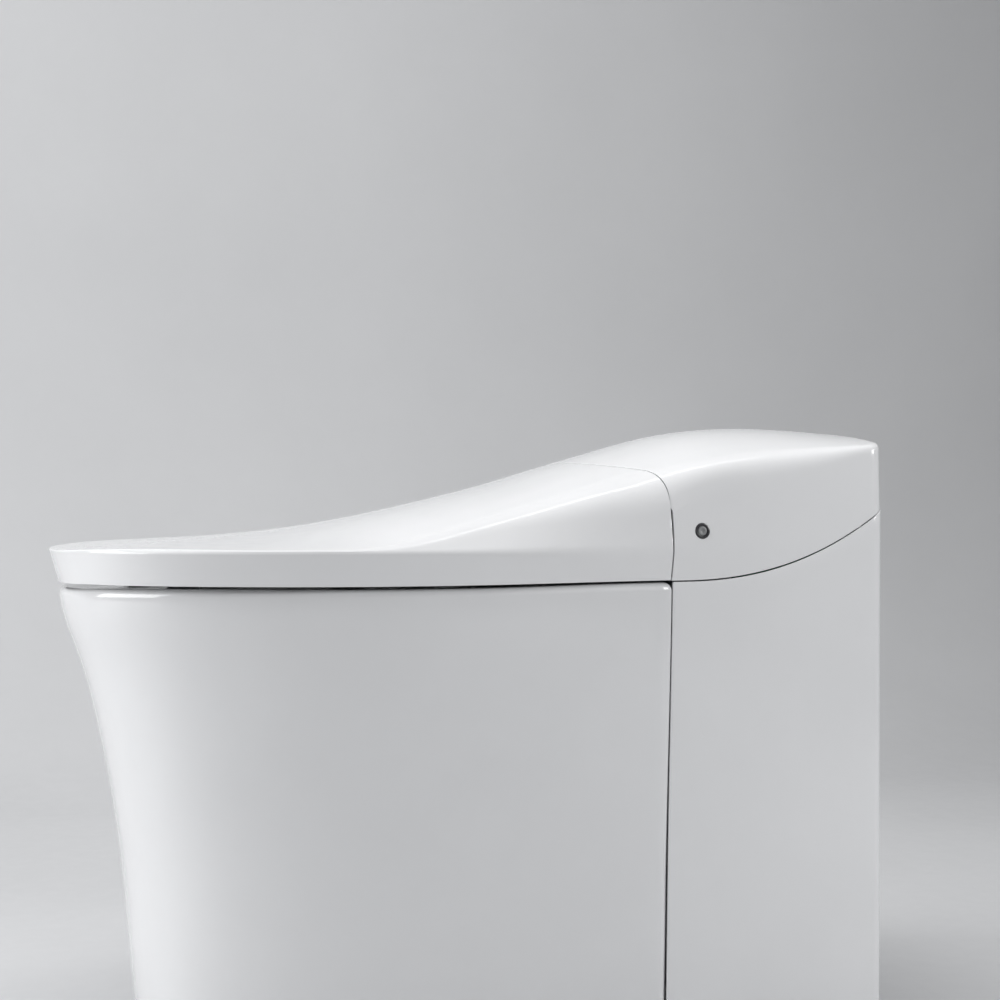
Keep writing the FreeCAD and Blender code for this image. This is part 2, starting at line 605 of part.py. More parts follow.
# spray wand with its rack, pinion, motor and guide -------------------------------------
wr = S("wand_radius")
wl = S("wand_long")
tube = Part.makeCylinder(wr, wl - 22, wand_at(22), WD)
tube = tube.cut(Part.makeCylinder(3.0, wl - 40, wand_at(40), WD))
keep(feature("spray_wand_tube", tube), "spray_wand")
tip = Part.makeCylinder(wr, 20, wand_at(2), WD)
cone = Part.makeCone(wr - 4.0, wr, 6, wand_at(-4), WD)
tip = cone.fuse(tip).removeSplitter()
for k in range(3):
    tip = tip.cut(Part.makeCylinder(1.0, 8, wand_at(6 + 4 * k, 4.0), WN))
keep(feature("wand_tip_head", tip), "wand_tip")

m = S("gear_module")
zt = int(S("gear_teeth"))
rp = m * zt / 2
pin_s = 126.0
pitch_n = 9.0                       # pitch line of the rack above the wand axis
rack_low, rack_tip = pitch_n - 4.5, pitch_n + m
r_len = 116.0
r_start = wl


def wand_point(s, n, x):
    return wand_at(s, n, x)


pts = [(r_start, rack_low)]
pts.append((r_start, pitch_n - 1.25 * m))
pitch_len = math.pi * m
back = 0.16                         # half of the backlash, taken off each flank
tanp = math.tan(math.radians(20))
k0 = int(math.ceil((r_start + 1.5 - pin_s) / pitch_len))
k1 = int(math.floor((r_start + r_len - 1.5 - pin_s) / pitch_len))
for k in range(k0, k1 + 1):
    c = pin_s + k * pitch_len
    hb = pitch_len / 4 - back + 1.25 * m * tanp
    ht = pitch_len / 4 - back - 1.0 * m * tanp
    pts += [(c - hb, pitch_n - 1.25 * m), (c - ht, pitch_n + m * 0.96), (c + ht, pitch_n + m * 0.96), (c + hb, pitch_n - 1.25 * m)]
pts += [(r_start + r_len, pitch_n - 1.25 * m), (r_start + r_len, rack_low)]
clean = [pts[0]]
for p in pts[1:]:
    if abs(p[0] - clean[-1][0]) > 1e-6 or abs(p[1] - clean[-1][1]) > 1e-6:
        clean.append(p)
poly = [wand_point(a, b, -3.5) for a, b in clean]
rack = Part.Face(Part.makePolygon(poly + [poly[0]])).extrude(Vector(7, 0, 0))
keep(feature("wand_rack_bar", rack), "wand_rack")


def involute_gear(mod, teeth, backlash):
    # outline in the plane, tooth gap centred on angle -90 degrees from the first axis
    rpitch = mod * teeth / 2
    rbase = rpitch * math.cos(math.radians(20))
    ra = rpitch + 0.96 * mod
    rf = rpitch - 1.25 * mod
    inv = math.tan(math.radians(20)) - math.radians(20)
    half = math.pi / (2 * teeth) - backlash / rpitch
    pts = []
    for i in range(teeth):
        mid = 2 * math.pi * i / teeth
        flank = []
        for j in range(5):
            r = max(rbase, rf) + (ra - max(rbase, rf)) * j / 4
            a = math.acos(min(1.0, rbase / r))
            flank.append((r, half + inv - (math.tan(a) - a)))
        low = [(rf, flank[0][1])] if rbase > rf else []
        for r, a in low + flank:
            pts.append((r, mid - a))
        for r, a in reversed(low + flank):
            pts.append((r, mid + a))
    return [(r * math.cos(a), r * math.sin(a)) for r, a in pts]


# the rack has a tooth at the pinion's foot, so the pinion has a gap there
pin_c = wand_at(pin_s, pitch_n + rp)
turn = math.radians(-90) + math.pi / zt
poly = []
for u, v in involute_gear(m, zt, back):
    a = u * math.cos(turn) - v * math.sin(turn)
    b = u * math.sin(turn) + v * math.cos(turn)
    poly.append(pin_c + WD * a + WN * b + Vector(-3.5, 0, 0))
gear = Part.Face(Part.makePolygon(poly + [poly[0]])).extrude(Vector(7, 0, 0))
shaft = Part.makeCylinder(2.0, 14.5, pin_c + Vector(-4.5, 0, 0), Vector(1, 0, 0))
gear = gear.fuse(shaft)
keep(feature("wand_pinion_wheel", gear), "wand_pinion")

motor = Part.makeCylinder(11, 24, pin_c + Vector(11.5, 0, 0), Vector(1, 0, 0)).fuse(
    Part.makeCylinder(5, 3, pin_c + Vector(8.7, 0, 0), Vector(1, 0, 0)))
motor = motor.cut(Part.makeCylinder(2.05, 6, pin_c + Vector(8, 0, 0), Vector(1, 0, 0)))
keep(feature("wand_motor_can", motor), "wand_motor")


def tilted_box(x0, x1, s0, s1, n0, n1):
    b = Part.makeBox(x1 - x0, s1 - s0, n1 - n0, Vector(x0, s0, n0))
    b.Placement = Placement(W0, Rotation(Vector(1, 0, 0), S("wand_tilt"))).multiply(b.Placement)
    return b


guide = tilted_box(-15, 15, 6, 112, -13, 5.5)
guide = guide.cut(Part.makeCylinder(wr + 0.08, 140, wand_at(-5), WD))
leg = brick(-15, 15, 135, 150, deck + 5, 400).cut(tilted_box(-30, 30, -50, 200, -12.5, 200))
rear_guide = tilted_box(-15, 15, 112, 150, -13, -8).fuse(tilted_box(-8, -4.2, 112, 118, -8.5, 4))
tray = tilted_box(-15, 15, 112, 238, -13, -10)
guide = guide.fuse(tray).fuse(leg)
legr = brick(-15, 15, 300, 310, deck + 5, 470).cut(tilted_box(-30, 30, -50, 260, -12.5, 200))
guide = guide.fuse(legr).removeSplitter()
keep(feature("wand_guide_track", largest(guide)), "wand_guide")

# dryer --------------------------------------------------------------------------------
duct = brick(-72, -28, 114, 150, 342, 387).cut(brick(-69.5, -30.5, 110, 147, 344.5, 384.5))
duct = duct.common(seam_region(5.0, False))
duct = duct.fuse(Part.makeCylinder(14, 14, Vector(-50, 150, 364), Vector(0, 1, 0))).cut(
    Part.makeCylinder(12, 40, Vector(-50, 140, 364), Vector(0, 1, 0)))
keep(feature("dryer_duct_box", duct), "dryer_duct")
fan = Part.makeCylinder(36, 42, Vector(-88, 205, 340), Vector(0, 0, 1))
fan = fan.fuse(brick(-66, -34, 164.2, 215, 348, 380))
fan = fan.cut(Part.makeCylinder(33, 36, Vector(-88, 205, 343), Vector(0, 0, 1)))
fan = fan.cut(Part.makeCylinder(12, 50, Vector(-50, 150, 364), Vector(0, 1, 0)))
fan = fan.cut(Part.makeCylinder(12, 20, Vector(-88, 205, 375), Vector(0, 0, 1)))
fan = fan.fuse(brick(-100, -76, 190, 220, deck + 5, 340.5))
keep(feature("blower_case_volute", largest(fan)), "blower_case")


def rotor(tag, centre, axis, radius, length, blades):
    hub = Part.makeCylinder(radius * 0.35, length, Vector(0, 0, 0), Vector(0, 0, 1))
    hub = hub.fuse(Part.makeCylinder(radius, 1.5, Vector(0, 0, 0), Vector(0, 0, 1)))
    for i in range(blades):
        b = brick(radius * 0.3, radius - 0.5, -0.8, 0.8, 0, length)
        b.rotate(Vector(0, 0, 0), Vector(0, 0, 1), 360.0 * i / blades)
        hub = hub.fuse(b)
    f = doc.addObject("Part::Feature", tag)
    f.Shape = hub.removeSplitter()
    f.Placement = Placement(centre, AXIS[axis])
    return f


keep(rotor("blower_wheel", Vector(-88, 205, 346), "z", 29, 24, 12), "blower_rotor")
flap = box("dryer_flap_leaf", (-68, 111.5, 347), (-32, 114, 381))
hinge_rod = rod("dryer_flap_rod", (-68, 112.75, 381.3), 1.6, 36, "x")
keep(fuse("dryer_flap_join", flap, hinge_rod), "dryer_flap")

# deodoriser ----------------------------------------------------------------------------
case = brick(30, 76, 114, 172, 334, 386).cut(brick(33, 73, 112, 169, 337, 383))
case = case.common(seam_region(5.0, False))
case = case.fuse(brick(44, 62, 140, 160, deck + 5, 334.5))
keep(feature("deodoriser_case_box", case), "deodoriser_case")
keep(box("carbon_filter_block", (34, 122, 338), (72, 136, 382)), "carbon_filter")
keep(rotor("deodoriser_wheel", Vector(53, 141, 360), "y", 19, 16, 9), "deodoriser_rotor")

# water side ------------------------------------------------------------------------------
heater = fuse("water_heater_join", box("heater_block", (30, 200, deck + 5), (96, 290, 392)),
              rod("heater_in", (44, 290, 350), 5, 10, "y"), rod("heater_out", (44, 190, 372), 5, 11, "y"))
keep(heater, "water_heater")
tank = brick(-160, -36, 246, 342, deck + 5, 452).cut(brick(-157, -39, 249, 339, deck + 8, 449))
keep(feature("reservoir_tank", tank), "reservoir")
pump = Part.makeCylinder(19, 62, Vector(-152, 262, 70), Vector(0, 0, 1))
pump = pump.cut(Part.makeCylinder(15, 22, Vector(-152, 262, 74), Vector(0, 0, 1)))
pump = pump.fuse(Part.makeCylinder(7, 12, Vector(-152, 262, 60), Vector(0, 0, 1)))
pump = pump.fuse(brick(-172, -128, 250, 274, 100, 112))
keep(feature("pump_body_can", largest(pump)), "pump_body")
keep(rotor("pump_wheel", Vector(-152, 262, 77), "z", 12.5, 13, 6), "pump_rotor")


def tube_run(points, radius, bore):
    # straight runs joined by tangent arcs
    P = [Vector(*p) for p in points]
    edges = []
    start = P[0]
    for i in range(1, len(P) - 1):
        a = P[i - 1] - P[i]
        b = P[i + 1] - P[i]
        ang = a.getAngle(b)
        back_len = 0.45 * min(a.Length, b.Length)
        a.normalize()
        b.normalize()
        t1, t2 = P[i] + a * back_len, P[i] + b * back_len
        rad = back_len * math.tan(ang / 2)
        bis = a + b
        bis.normalize()
        centre = P[i] + bis * math.hypot(rad, back_len)
        mid = centre - bis * rad
        edges.append(Part.LineSegment(start, t1).toShape())
        edges.append(Part.Arc(t1, mid, t2).toShape())
        start = t2
    edges.append(Part.LineSegment(start, P[-1]).toShape())
    path = Part.Wire(edges)
    direction = P[1] - P[0]

    def pipe(r):
        ring = Part.Wire([Part.Circle(P[0], direction, r).toShape()])
        return path.makePipeShell([ring], True, False)
    return pipe(radius).cut(pipe(bore))


hose = tube_run([(-152, 300, 327), (-152, 300, 240), (-152, 262, 190), (-152, 262, 132)], 6.0, 4.0)
keep(feature("flush_hose_tube", hose), "flush_hose")

valve = fuse("valve_join", box("valve_block", (132, 300, 78), (170, 330, 112)),
             rod("valve_coil", (151, 315, 112), 12, 30), rod("valve_out", (151, 300, 95), 5, 8, "y"))
keep(valve, "inlet_valve")
nip = cut("nipple_cut", fuse("nipple_join", rod("nipple_thread", (151, 334, 95), S("inlet_radius"), 17, "y"),
                             rod("nipple_collar", (151, 330, 95), 13, 4, "y")),
          rod("nipple_bore", (151, 320, 95), 6, 40, "y"))
keep(nip, "inlet_nipple")
keep(rod("inlet_filter_mesh", (151, 332, 95), 5.5, 14, "y"), "inlet_filter")
hose = tube_run([(151, 315, 142), (151, 315, 230), (151, 296, 290), (151, 296, 322)], 5.0, 3.2)
keep(feature("supply_hose_tube", hose), "supply_hose")

# electrics ---------------------------------------------------------------------------------
board = fuse("board_join", box("board_plate", (160, 220, 340), (161.6, 336, 440)),
             box("board_relay_a", (146, 232, 350), (160.2, 252, 366)),
             box("board_relay_b", (146, 260, 350), (160.2, 280, 366)),
             box("board_chip", (157, 300, 380), (160.2, 318, 398)),
             box("board_plug", (150, 240, 410), (160.2, 300, 420)),
             box("board_leg_a", (155, 222, deck + 5), (161.6, 230, 345)),
             box("board_leg_b", (155, 322, deck + 5), (161.6, 330, 345)))
keep(board, "control_board")
keep(fuse("supply_join", box("supply_box", (133, 190, 170), (170, 290, 262)),
          box("supply_tab", (128, 200, 200), (134, 280, 230))), "power_supply")
rear = box("rear_panel_plate", (-137, 349.2, 330), (137, 352, 456))
vents = fuse("rear_vents", *[box("rear_vent_%d" % i, (20 + 12 * i, 345, 380), (26 + 12 * i, 356, 430)) for i in range(6)])
gland_hole = rod("rear_gland_hole", (118, 340, 350), 6.1, 20, "y")
keep(cut("rear_panel_cut2", cut("rear_panel_cut", rear, vents), gland_hole), "rear_panel")
gland = cut("gland_cut", fuse("gland_join", rod("gland_barrel", (118, 342, 350), 6.0, 12.5, "y"),
                              rod("gland_head", (118, 345.4, 350), 8.5, 3.8, "y")),
            rod("gland_bore", (118, 340, 350), 3.6, 20, "y"))
keep(gland, "cable_gland")


# turned and moulded small pieces as sketch-based bodies --------------------------------------
def sketch_on(body, plane, name):
    sk = body.newObject("Sketcher::SketchObject", name)
    origin = [f for f in body.Origin.OriginFeatures if f.Role == plane][0]
    sk.AttachmentSupport = (origin, [""])
    sk.MapMode = "FlatFace"
    return sk


def ring_sketch(body, name, radii):
    sk = sketch_on(body, "XY_Plane", name)
    for alias in radii:
        i = sk.addGeometry(Part.Circle(Vector(0, 0, 0), Vector(0, 0, 1), S(alias)), False)
        sk.addConstraint(Sketcher.Constraint("Coincident", i, 3, -1, 1))
        j = sk.addConstraint(Sketcher.Constraint("Radius", i, S(alias)))
        sk.setExpression("Constraints[%d]" % j, "sizes." + alias)
    return sk


def padded(tag, layers):
    # stacked round layers: (radii, length alias), each on top of the one before
    body = doc.addObject("PartDesign::Body", tag)
    z = []
    for i, (radii, length) in enumerate(layers):
        sk = ring_sketch(body, "%s_sk%d" % (tag, i), radii)
        if z:
            sk.setExpression("AttachmentOffset.Base.z", " + ".join("sizes." + q for q in z))
        pad = body.newObject("PartDesign::Pad", "%s_pad%d" % (tag, i))
        pad.Profile = sk
        bind(pad, "Length", length)
        z.append(length)
    return body


for name, value in (("bezel_out", 5.65), ("bezel_in", 4.2), ("bezel_back", 1.0), ("bezel_neck", 1.0),
                    ("bezel_long", 3.9), ("bezel_flange", 8.0), ("bezel_flange_long", 1.4),
                    ("cap_rad", 4.12), ("cap_long", 4.0), ("lens_rad", 6.0), ("lens_long", 2.8), ("gasket_out", 40.0),
                    ("gasket_in", 29.0), ("gasket_long", 7.6), ("screw_head", 4.0), ("screw_head_long", 2.5),
                    ("screw_shank", 2.0), ("screw_shank_long", 8.0)):
    cell(name, value)
doc.recompute()

bezel = padded("bezel_body", [(["bezel_out"], "bezel_back"), (["bezel_out", "bezel_in"], "bezel_neck"),
                              (["bezel_flange", "bezel_in"], "bezel_flange_long"),
                              (["bezel_out", "bezel_in"], "bezel_long")])
bezel.Placement = Placement(Vector(179.5, by, bz), Rotation(Vector(0, 0, 1), Vector(1, 0, 0)))
keep(bezel, "button_bezel")
cap = padded("cap_body", [(["cap_rad"], "cap_long")])
cap.Placement = Placement(Vector(183.0, by, bz), Rotation(Vector(0, 0, 1), Vector(1, 0, 0)))
keep(cap, "button_cap")
lens = padded("lens_body", [(["lens_rad"], "lens_long")])
lens.Placement = Placement(Vector(0, 115.1, 445), Rotation(Vector(0, 0, 1), Vector(0, -1, 0)))
keep(lens, "presence_sensor")
gasket = padded("gasket_body", [(["gasket_out", "gasket_in"], "gasket_long")])
gasket.Placement = Placement(Vector(0, S("outlet_y"), 0.3), Rotation())
keep(gasket, "outlet_gasket")
keep(box("night_light_bar", (-25.8, 112.9, 404.2), (25.8, 116, 409.8)), "night_light_lens")

# a small folded return spring behind the button
fold = [(2.1, 0.0), (2.5, 0.0), (3.0, 0.5), (2.5, 1.0), (3.0, 1.5), (2.7, 1.8), (2.3, 1.8), (2.6, 1.5), (2.1, 1.0), (2.6, 0.5)]
fold_wire = Part.makePolygon([Vector(r, 0, h) for r, h in fold + fold[:1]])
coil = Part.Face(fold_wire).revolve(Vector(0, 0, 0), Vector(0, 0, 1), 360)
spring_f = doc.addObject("Part::Feature", "button_spring_coil")
spring_f.Shape = coil
spring_f.Placement = Placement(Vector(180.85, by, bz), Rotation(Vector(0, 0, 1), Vector(1, 0, 0)))
keep(spring_f, "button_spring")


# screws --------------------------------------------------------------------------------------
def screw_group(tag, places, direction):
    first = padded(tag + "_one", [(["screw_shank"], "screw_shank_long"), (["screw_head"], "screw_head_long")])
    doc.recompute()
    shapes = []
    for p in places:
        s = first.Shape.copy()
        s.Placement = Placement(Vector(*p), Rotation(Vector(0, 0, 1), direction))
        shapes.append(s)
    f = doc.addObject("Part::Feature", tag)
    f.Shape = Part.makeCompound(shapes)
    return f


chassis_screw = screw_group("chassis_screw_group", [(-115, 172, deck - 3), (115, 172, deck - 3),
                                                    (-26, 338, deck - 3), (110, 338, deck - 3)], Vector(0, 0, 1))
keep(chassis_screw, "chassis_screws")

doc.recompute()
bad = []
for obj in doc.Objects:
    if "Invalid" in obj.State or "Error" in obj.State:
        bad.append("%s %s" % (obj.Name, obj.State))
for obj in OUT:
    if obj.Shape.isNull() or not obj.Shape.isValid() or obj.Shape.Volume <= 0:
        bad.append("%s has a bad shape" % obj.Label)
if bad:
    raise RuntimeError("; ".join(bad))

os.makedirs("parts", exist_ok=True)
for obj in OUT:
    obj.Shape.exportStep(os.path.join("parts", obj.Label + ".step"))
    b = obj.Shape.optimalBoundingBox(True, False)
    print("%-22s solids %d faces %3d vol %9.0f  x %.1f..%.1f y %.1f..%.1f z %.1f..%.1f" % (
        obj.Label, len(obj.Shape.Solids), len(obj.Shape.Faces), obj.Shape.Volume,
        b.XMin, b.XMax, b.YMin, b.YMax, b.ZMin, b.ZMax))
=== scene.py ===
import json
import math
import bpy
import bmesh
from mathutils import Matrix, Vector


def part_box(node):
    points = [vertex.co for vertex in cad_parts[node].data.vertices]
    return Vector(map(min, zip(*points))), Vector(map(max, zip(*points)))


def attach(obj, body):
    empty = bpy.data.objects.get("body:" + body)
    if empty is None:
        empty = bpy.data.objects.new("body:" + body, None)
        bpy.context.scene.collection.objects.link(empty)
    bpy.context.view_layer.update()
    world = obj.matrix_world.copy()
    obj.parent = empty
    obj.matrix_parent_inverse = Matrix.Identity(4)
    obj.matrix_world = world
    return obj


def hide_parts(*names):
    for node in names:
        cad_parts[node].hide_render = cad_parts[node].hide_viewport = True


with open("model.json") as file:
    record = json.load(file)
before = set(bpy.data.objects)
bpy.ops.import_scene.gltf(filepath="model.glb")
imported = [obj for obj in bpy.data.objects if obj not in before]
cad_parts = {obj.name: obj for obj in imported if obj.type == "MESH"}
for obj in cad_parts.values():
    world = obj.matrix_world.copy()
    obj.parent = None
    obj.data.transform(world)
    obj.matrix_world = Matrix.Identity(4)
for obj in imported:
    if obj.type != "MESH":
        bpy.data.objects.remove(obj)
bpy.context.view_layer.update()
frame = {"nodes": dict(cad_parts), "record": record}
MM = 0.001


# ---------------------------------------------------------------- curves of the body
def spline(table):
    xs = [p[0] for p in table]
    ys = [p[1] for p in table]
    n = len(xs)
    h = [xs[i + 1] - xs[i] for i in range(n - 1)]
    al, lo, mu, zz = [0.0] * n, [1.0] * n, [0.0] * n, [0.0] * n
    for i in range(1, n - 1):
        al[i] = 3 * ((ys[i + 1] - ys[i]) / h[i] - (ys[i] - ys[i - 1]) / h[i - 1])
        lo[i] = 2 * (xs[i + 1] - xs[i - 1]) - h[i - 1] * mu[i - 1]
        mu[i] = h[i] / lo[i]
        zz[i] = (al[i] - h[i - 1] * zz[i - 1]) / lo[i]
    c = [0.0] * n
    b = [0.0] * n
    d = [0.0] * n
    for j in range(n - 2, -1, -1):
        c[j] = zz[j] - mu[j] * c[j + 1]
        b[j] = (ys[j + 1] - ys[j]) / h[j] - h[j] * (c[j + 1] + 2 * c[j]) / 3
        d[j] = (c[j + 1] - c[j]) / (3 * h[j])

    def f(x):
        x = min(max(x, xs[0]), xs[-1])
        k = 0
        while k < n - 2 and x > xs[k + 1]:
            k += 1
        t = x - xs[k]
        return ys[k] + b[k] * t + c[k] * t * t + d[k] * t ** 3
    return f


TIP, YM, REAR, CREASE = -355.0, -80.0, 355.0, 425.0
top_centre = spline([(-362, 424), (-300, 430), (-200, 435.9), (-100, 449), (-50, 459), (0, 470.3),
                     (50, 483), (100, 498), (156, 514.3), (200, 526), (250, 533.2),
                     (300, 534.0), (362, 529)])
ridge_level = spline([(-362, 424), (-300, 426.2), (-200, 426.8), (-150, 428), (-100, 431), (-50, 441),
                      (0, 453), (50, 465), (100, 477.5), (156, 490), (200, 499.5),
                      (250, 506), (300, 511), (340, 515), (362, 517)])
ridge_half = spline([(-362, 210), (-200, 206), (-100, 196), (0, 187), (50, 185), (100, 185),
                     (156, 184), (200, 182.5), (300, 179.5), (362, 178)])
top_lean = spline([(-362, 0.8), (-80, 0.8), (0, 0.72), (50, 0.46), (100, 0.22), (156, 0.1), (362, 0.04)])
lid_foot = spline([(-420, 394.6), (-356, 396.3), (-340, 397.5), (-315, 398.0), (-260, 398.2), (-180, 398.0), (0, 397.9), (130, 399.2), (260, 399.2)])
rim_level = spline([(-420, 389.5), (-346, 391.9), (-330, 393.2), (-300, 394.6), (-265, 395.4), (-220, 395.5), (-150, 395.2), (0, 395.2), (130, 397.3), (260, 397.3)])
# how far the rounding of the crease and of the upper ridge reaches, along the length
crease_round = spline([(-362, 1.6), (-200, 1.8), (-80, 2.6), (0, 4.0), (100, 6.0), (362, 6.0)])
ridge_round = spline([(-362, 3.0), (-200, 4.5), (-80, 8.0), (0, 13.0), (60, 19.0), (110, 26.0), (150, 29.5), (172, 23.0),
                      (188, 19.5), (220, 19.0), (260, 18.0), (310, 12.0), (340, 7.0), (362, 6.0)])


def crown(x, y):
    return top_centre(y) - 0.12 - (top_centre(y) - ridge_level(y)) * (x / ridge_half(y)) ** 2


def plan_half(y, half, tip, seam_half, rear_half):
    if y <= YM:
        q = min(1.0, abs(y - YM) / (YM - tip))
        return half * (1 - q ** 2.5) ** 0.4
    span = REAR - YM
    k = math.log((seam_half - rear_half) / (half - rear_half)) / math.log(1 - ((156.0 - YM) / span) ** 2)
    return rear_half + (half - rear_half) * (1 - min(1.0, (y - YM) / span) ** 2) ** k


def side_x(y, z):
    # half width of the upper body at length y and level z (y behind the widest place)
    crease = plan_half(y, 210.0, TIP, 190.0, 183.0)
    if z >= CREASE:
        return crease - top_lean(y) * (z - CREASE)
    foot = plan_half(y, 205.5, -344.4, 190.0, 183.0)
    return foot + (crease - foot) * (z - 397.5) / 27.5


def seam_at(x):
    return 110.0 + 11.0 * (min(abs(x), 190.0) / 100.0) ** 2.27


def seam_y_on_side(z, shift):
    y = 156.0
    for _ in range(6):
        y = seam_at(side_x(y, z)) + shift
    # the foot of the seam runs forward, to the corner of the pan
    return y - 3.6 * (max(0.0, 448.0 - z) / 48.0) ** 1.7


def panel_level(y):
    return 399.0 + 18.2 * (max(0.0, y - 165.0) / 112.0) ** 2.3


# ---------------------------------------------------------------- mesh helpers
def obj_from(name, verts, faces, mats, weld=True, index=None):
    me = bpy.data.meshes.new(name)
    me.from_pydata([(x * MM, y * MM, z * MM) for x, y, z in verts], [], faces)
    if weld:
        bm = bmesh.new()
        bm.from_mesh(me)
        bmesh.ops.remove_doubles(bm, verts=bm.verts, dist=0.00002)
        bmesh.ops.dissolve_degenerate(bm, edges=bm.edges, dist=0.000002)
        bmesh.ops.recalc_face_normals(bm, faces=bm.faces)
        bm.to_mesh(me)
        bm.free()
    ob = bpy.data.objects.new(name, me)
    bpy.context.scene.collection.objects.link(ob)
    for m in mats if isinstance(mats, (list, tuple)) else [mats]:
        me.materials.append(m)
    return ob


def grid_faces(nu, nv, close_u=False, close_v=False, off=0):
    f = []
    for i in range(nu if close_u else nu - 1):
        for j in range(nv if close_v else nv - 1):
            a = i * nv + j
            b = ((i + 1) % nu) * nv + j
            c = ((i + 1) % nu) * nv + (j + 1) % nv
            d = i * nv + (j + 1) % nv
            f.append((a + off, b + off, c + off, d + off))
    return f


def grid_obj(name, rows, mats, close_u=False, close_v=False, **kw):
    verts = [p for r in rows for p in r]
    return obj_from(name, verts, grid_faces(len(rows), len(rows[0]), close_u, close_v), mats, **kw)


def point_out(ob, centre):
    # turns every face so that it looks away from a point inside, in mm
    me = ob.data
    c = Vector(centre) * MM
    total = sum((p.center - c).dot(p.normal) * p.area for p in me.polygons)
    if total < 0:
        me.flip_normals()


def bake(ob, sharp=38.0):
    # modifiers become the mesh; smooth shading with edges sharper than the angle kept
    dg = bpy.context.evaluated_depsgraph_get()
    me = bpy.data.meshes.new_from_object(ob.evaluated_get(dg))
    old = ob.data
    ob.modifiers.clear()
    ob.data = me
    bpy.data.meshes.remove(old)
    me.name = ob.name
    bm = bmesh.new()
    bm.from_mesh(me)
    lim = math.radians(sharp)
    for f in bm.faces:
        f.smooth = True
    for e in bm.edges:
        e.smooth = not (len(e.link_faces) == 2 and e.calc_face_angle(0.0) > lim)
    bm.to_mesh(me)
    bm.free()
    return ob


def shell(ob, thick, bevel=0.45, segments=3, sharp=38.0, offset=-1.0):
    m = ob.modifiers.new("wall", "SOLIDIFY")
    m.thickness = thick * MM
    m.offset = offset
    m.use_even_offset = True
    if bevel:
        b = ob.modifiers.new("edge", "BEVEL")
        b.width = bevel * MM
        b.segments = segments
        b.limit_method = "ANGLE"
        b.angle_limit = math.radians(52)
        b.harden_normals = False
    return bake(ob, sharp)


def rounded(ob, bevel, segments=3, sharp=38.0, angle=35.0):
    b = ob.modifiers.new("edge", "BEVEL")
    b.width = bevel * MM
    b.segments = segments
    b.limit_method = "ANGLE"
    b.angle_limit = math.radians(angle)
    return bake(ob, sharp)


def bez(a, r, b, n):
    out = []
    for i in range(n + 1):
        t = i / n
        out.append(tuple(a[k] * (1 - t) ** 2 + 2 * r[k] * t * (1 - t) + b[k] * t * t for k in range(3)))
    return out


def lerp(a, b, t):
    return tuple(a[k] + (b[k] - a[k]) * t for k in range(3))


def dist(a, b):
    return math.sqrt(sum((a[k] - b[k]) ** 2 for k in range(3)))


def block(name, lo, hi, mat, bevel=0.8, segments=3):
    x0, y0, z0 = lo
    x1, y1, z1 = hi
    v = [(x0, y0, z0), (x1, y0, z0), (x1, y1, z0), (x0, y1, z0), (x0, y0, z1), (x1, y0, z1), (x1, y1, z1), (x0, y1, z1)]
    f = [(0, 3, 2, 1), (4, 5, 6, 7), (0, 1, 5, 4), (1, 2, 6, 5), (2, 3, 7, 6), (3, 0, 4, 7)]
    ob = obj_from(name, v, f, mat)
    return rounded(ob, bevel, segments)


def lathe(name, profile, centre, axis, mat, steps=64, sharp=32.0):
    # profile is (radius, height) along the axis from the centre, in mm
    ax = {"x": (1, 0, 0), "y": (0, 1, 0), "z": (0, 0, 1)}.get(axis, axis)
    w = Vector(ax).normalized()
    u = w.orthogonal().normalized()
    v = w.cross(u)
    c = Vector(centre)
    rows = []
    for i in range(steps):
        a = 2 * math.pi * i / steps
        e = u * math.cos(a) + v * math.sin(a)
        rows.append([tuple(c + e * r + w * h) for r, h in profile])
    ob = grid_obj(name, rows, mat, close_u=True)
    return bake(ob, sharp)


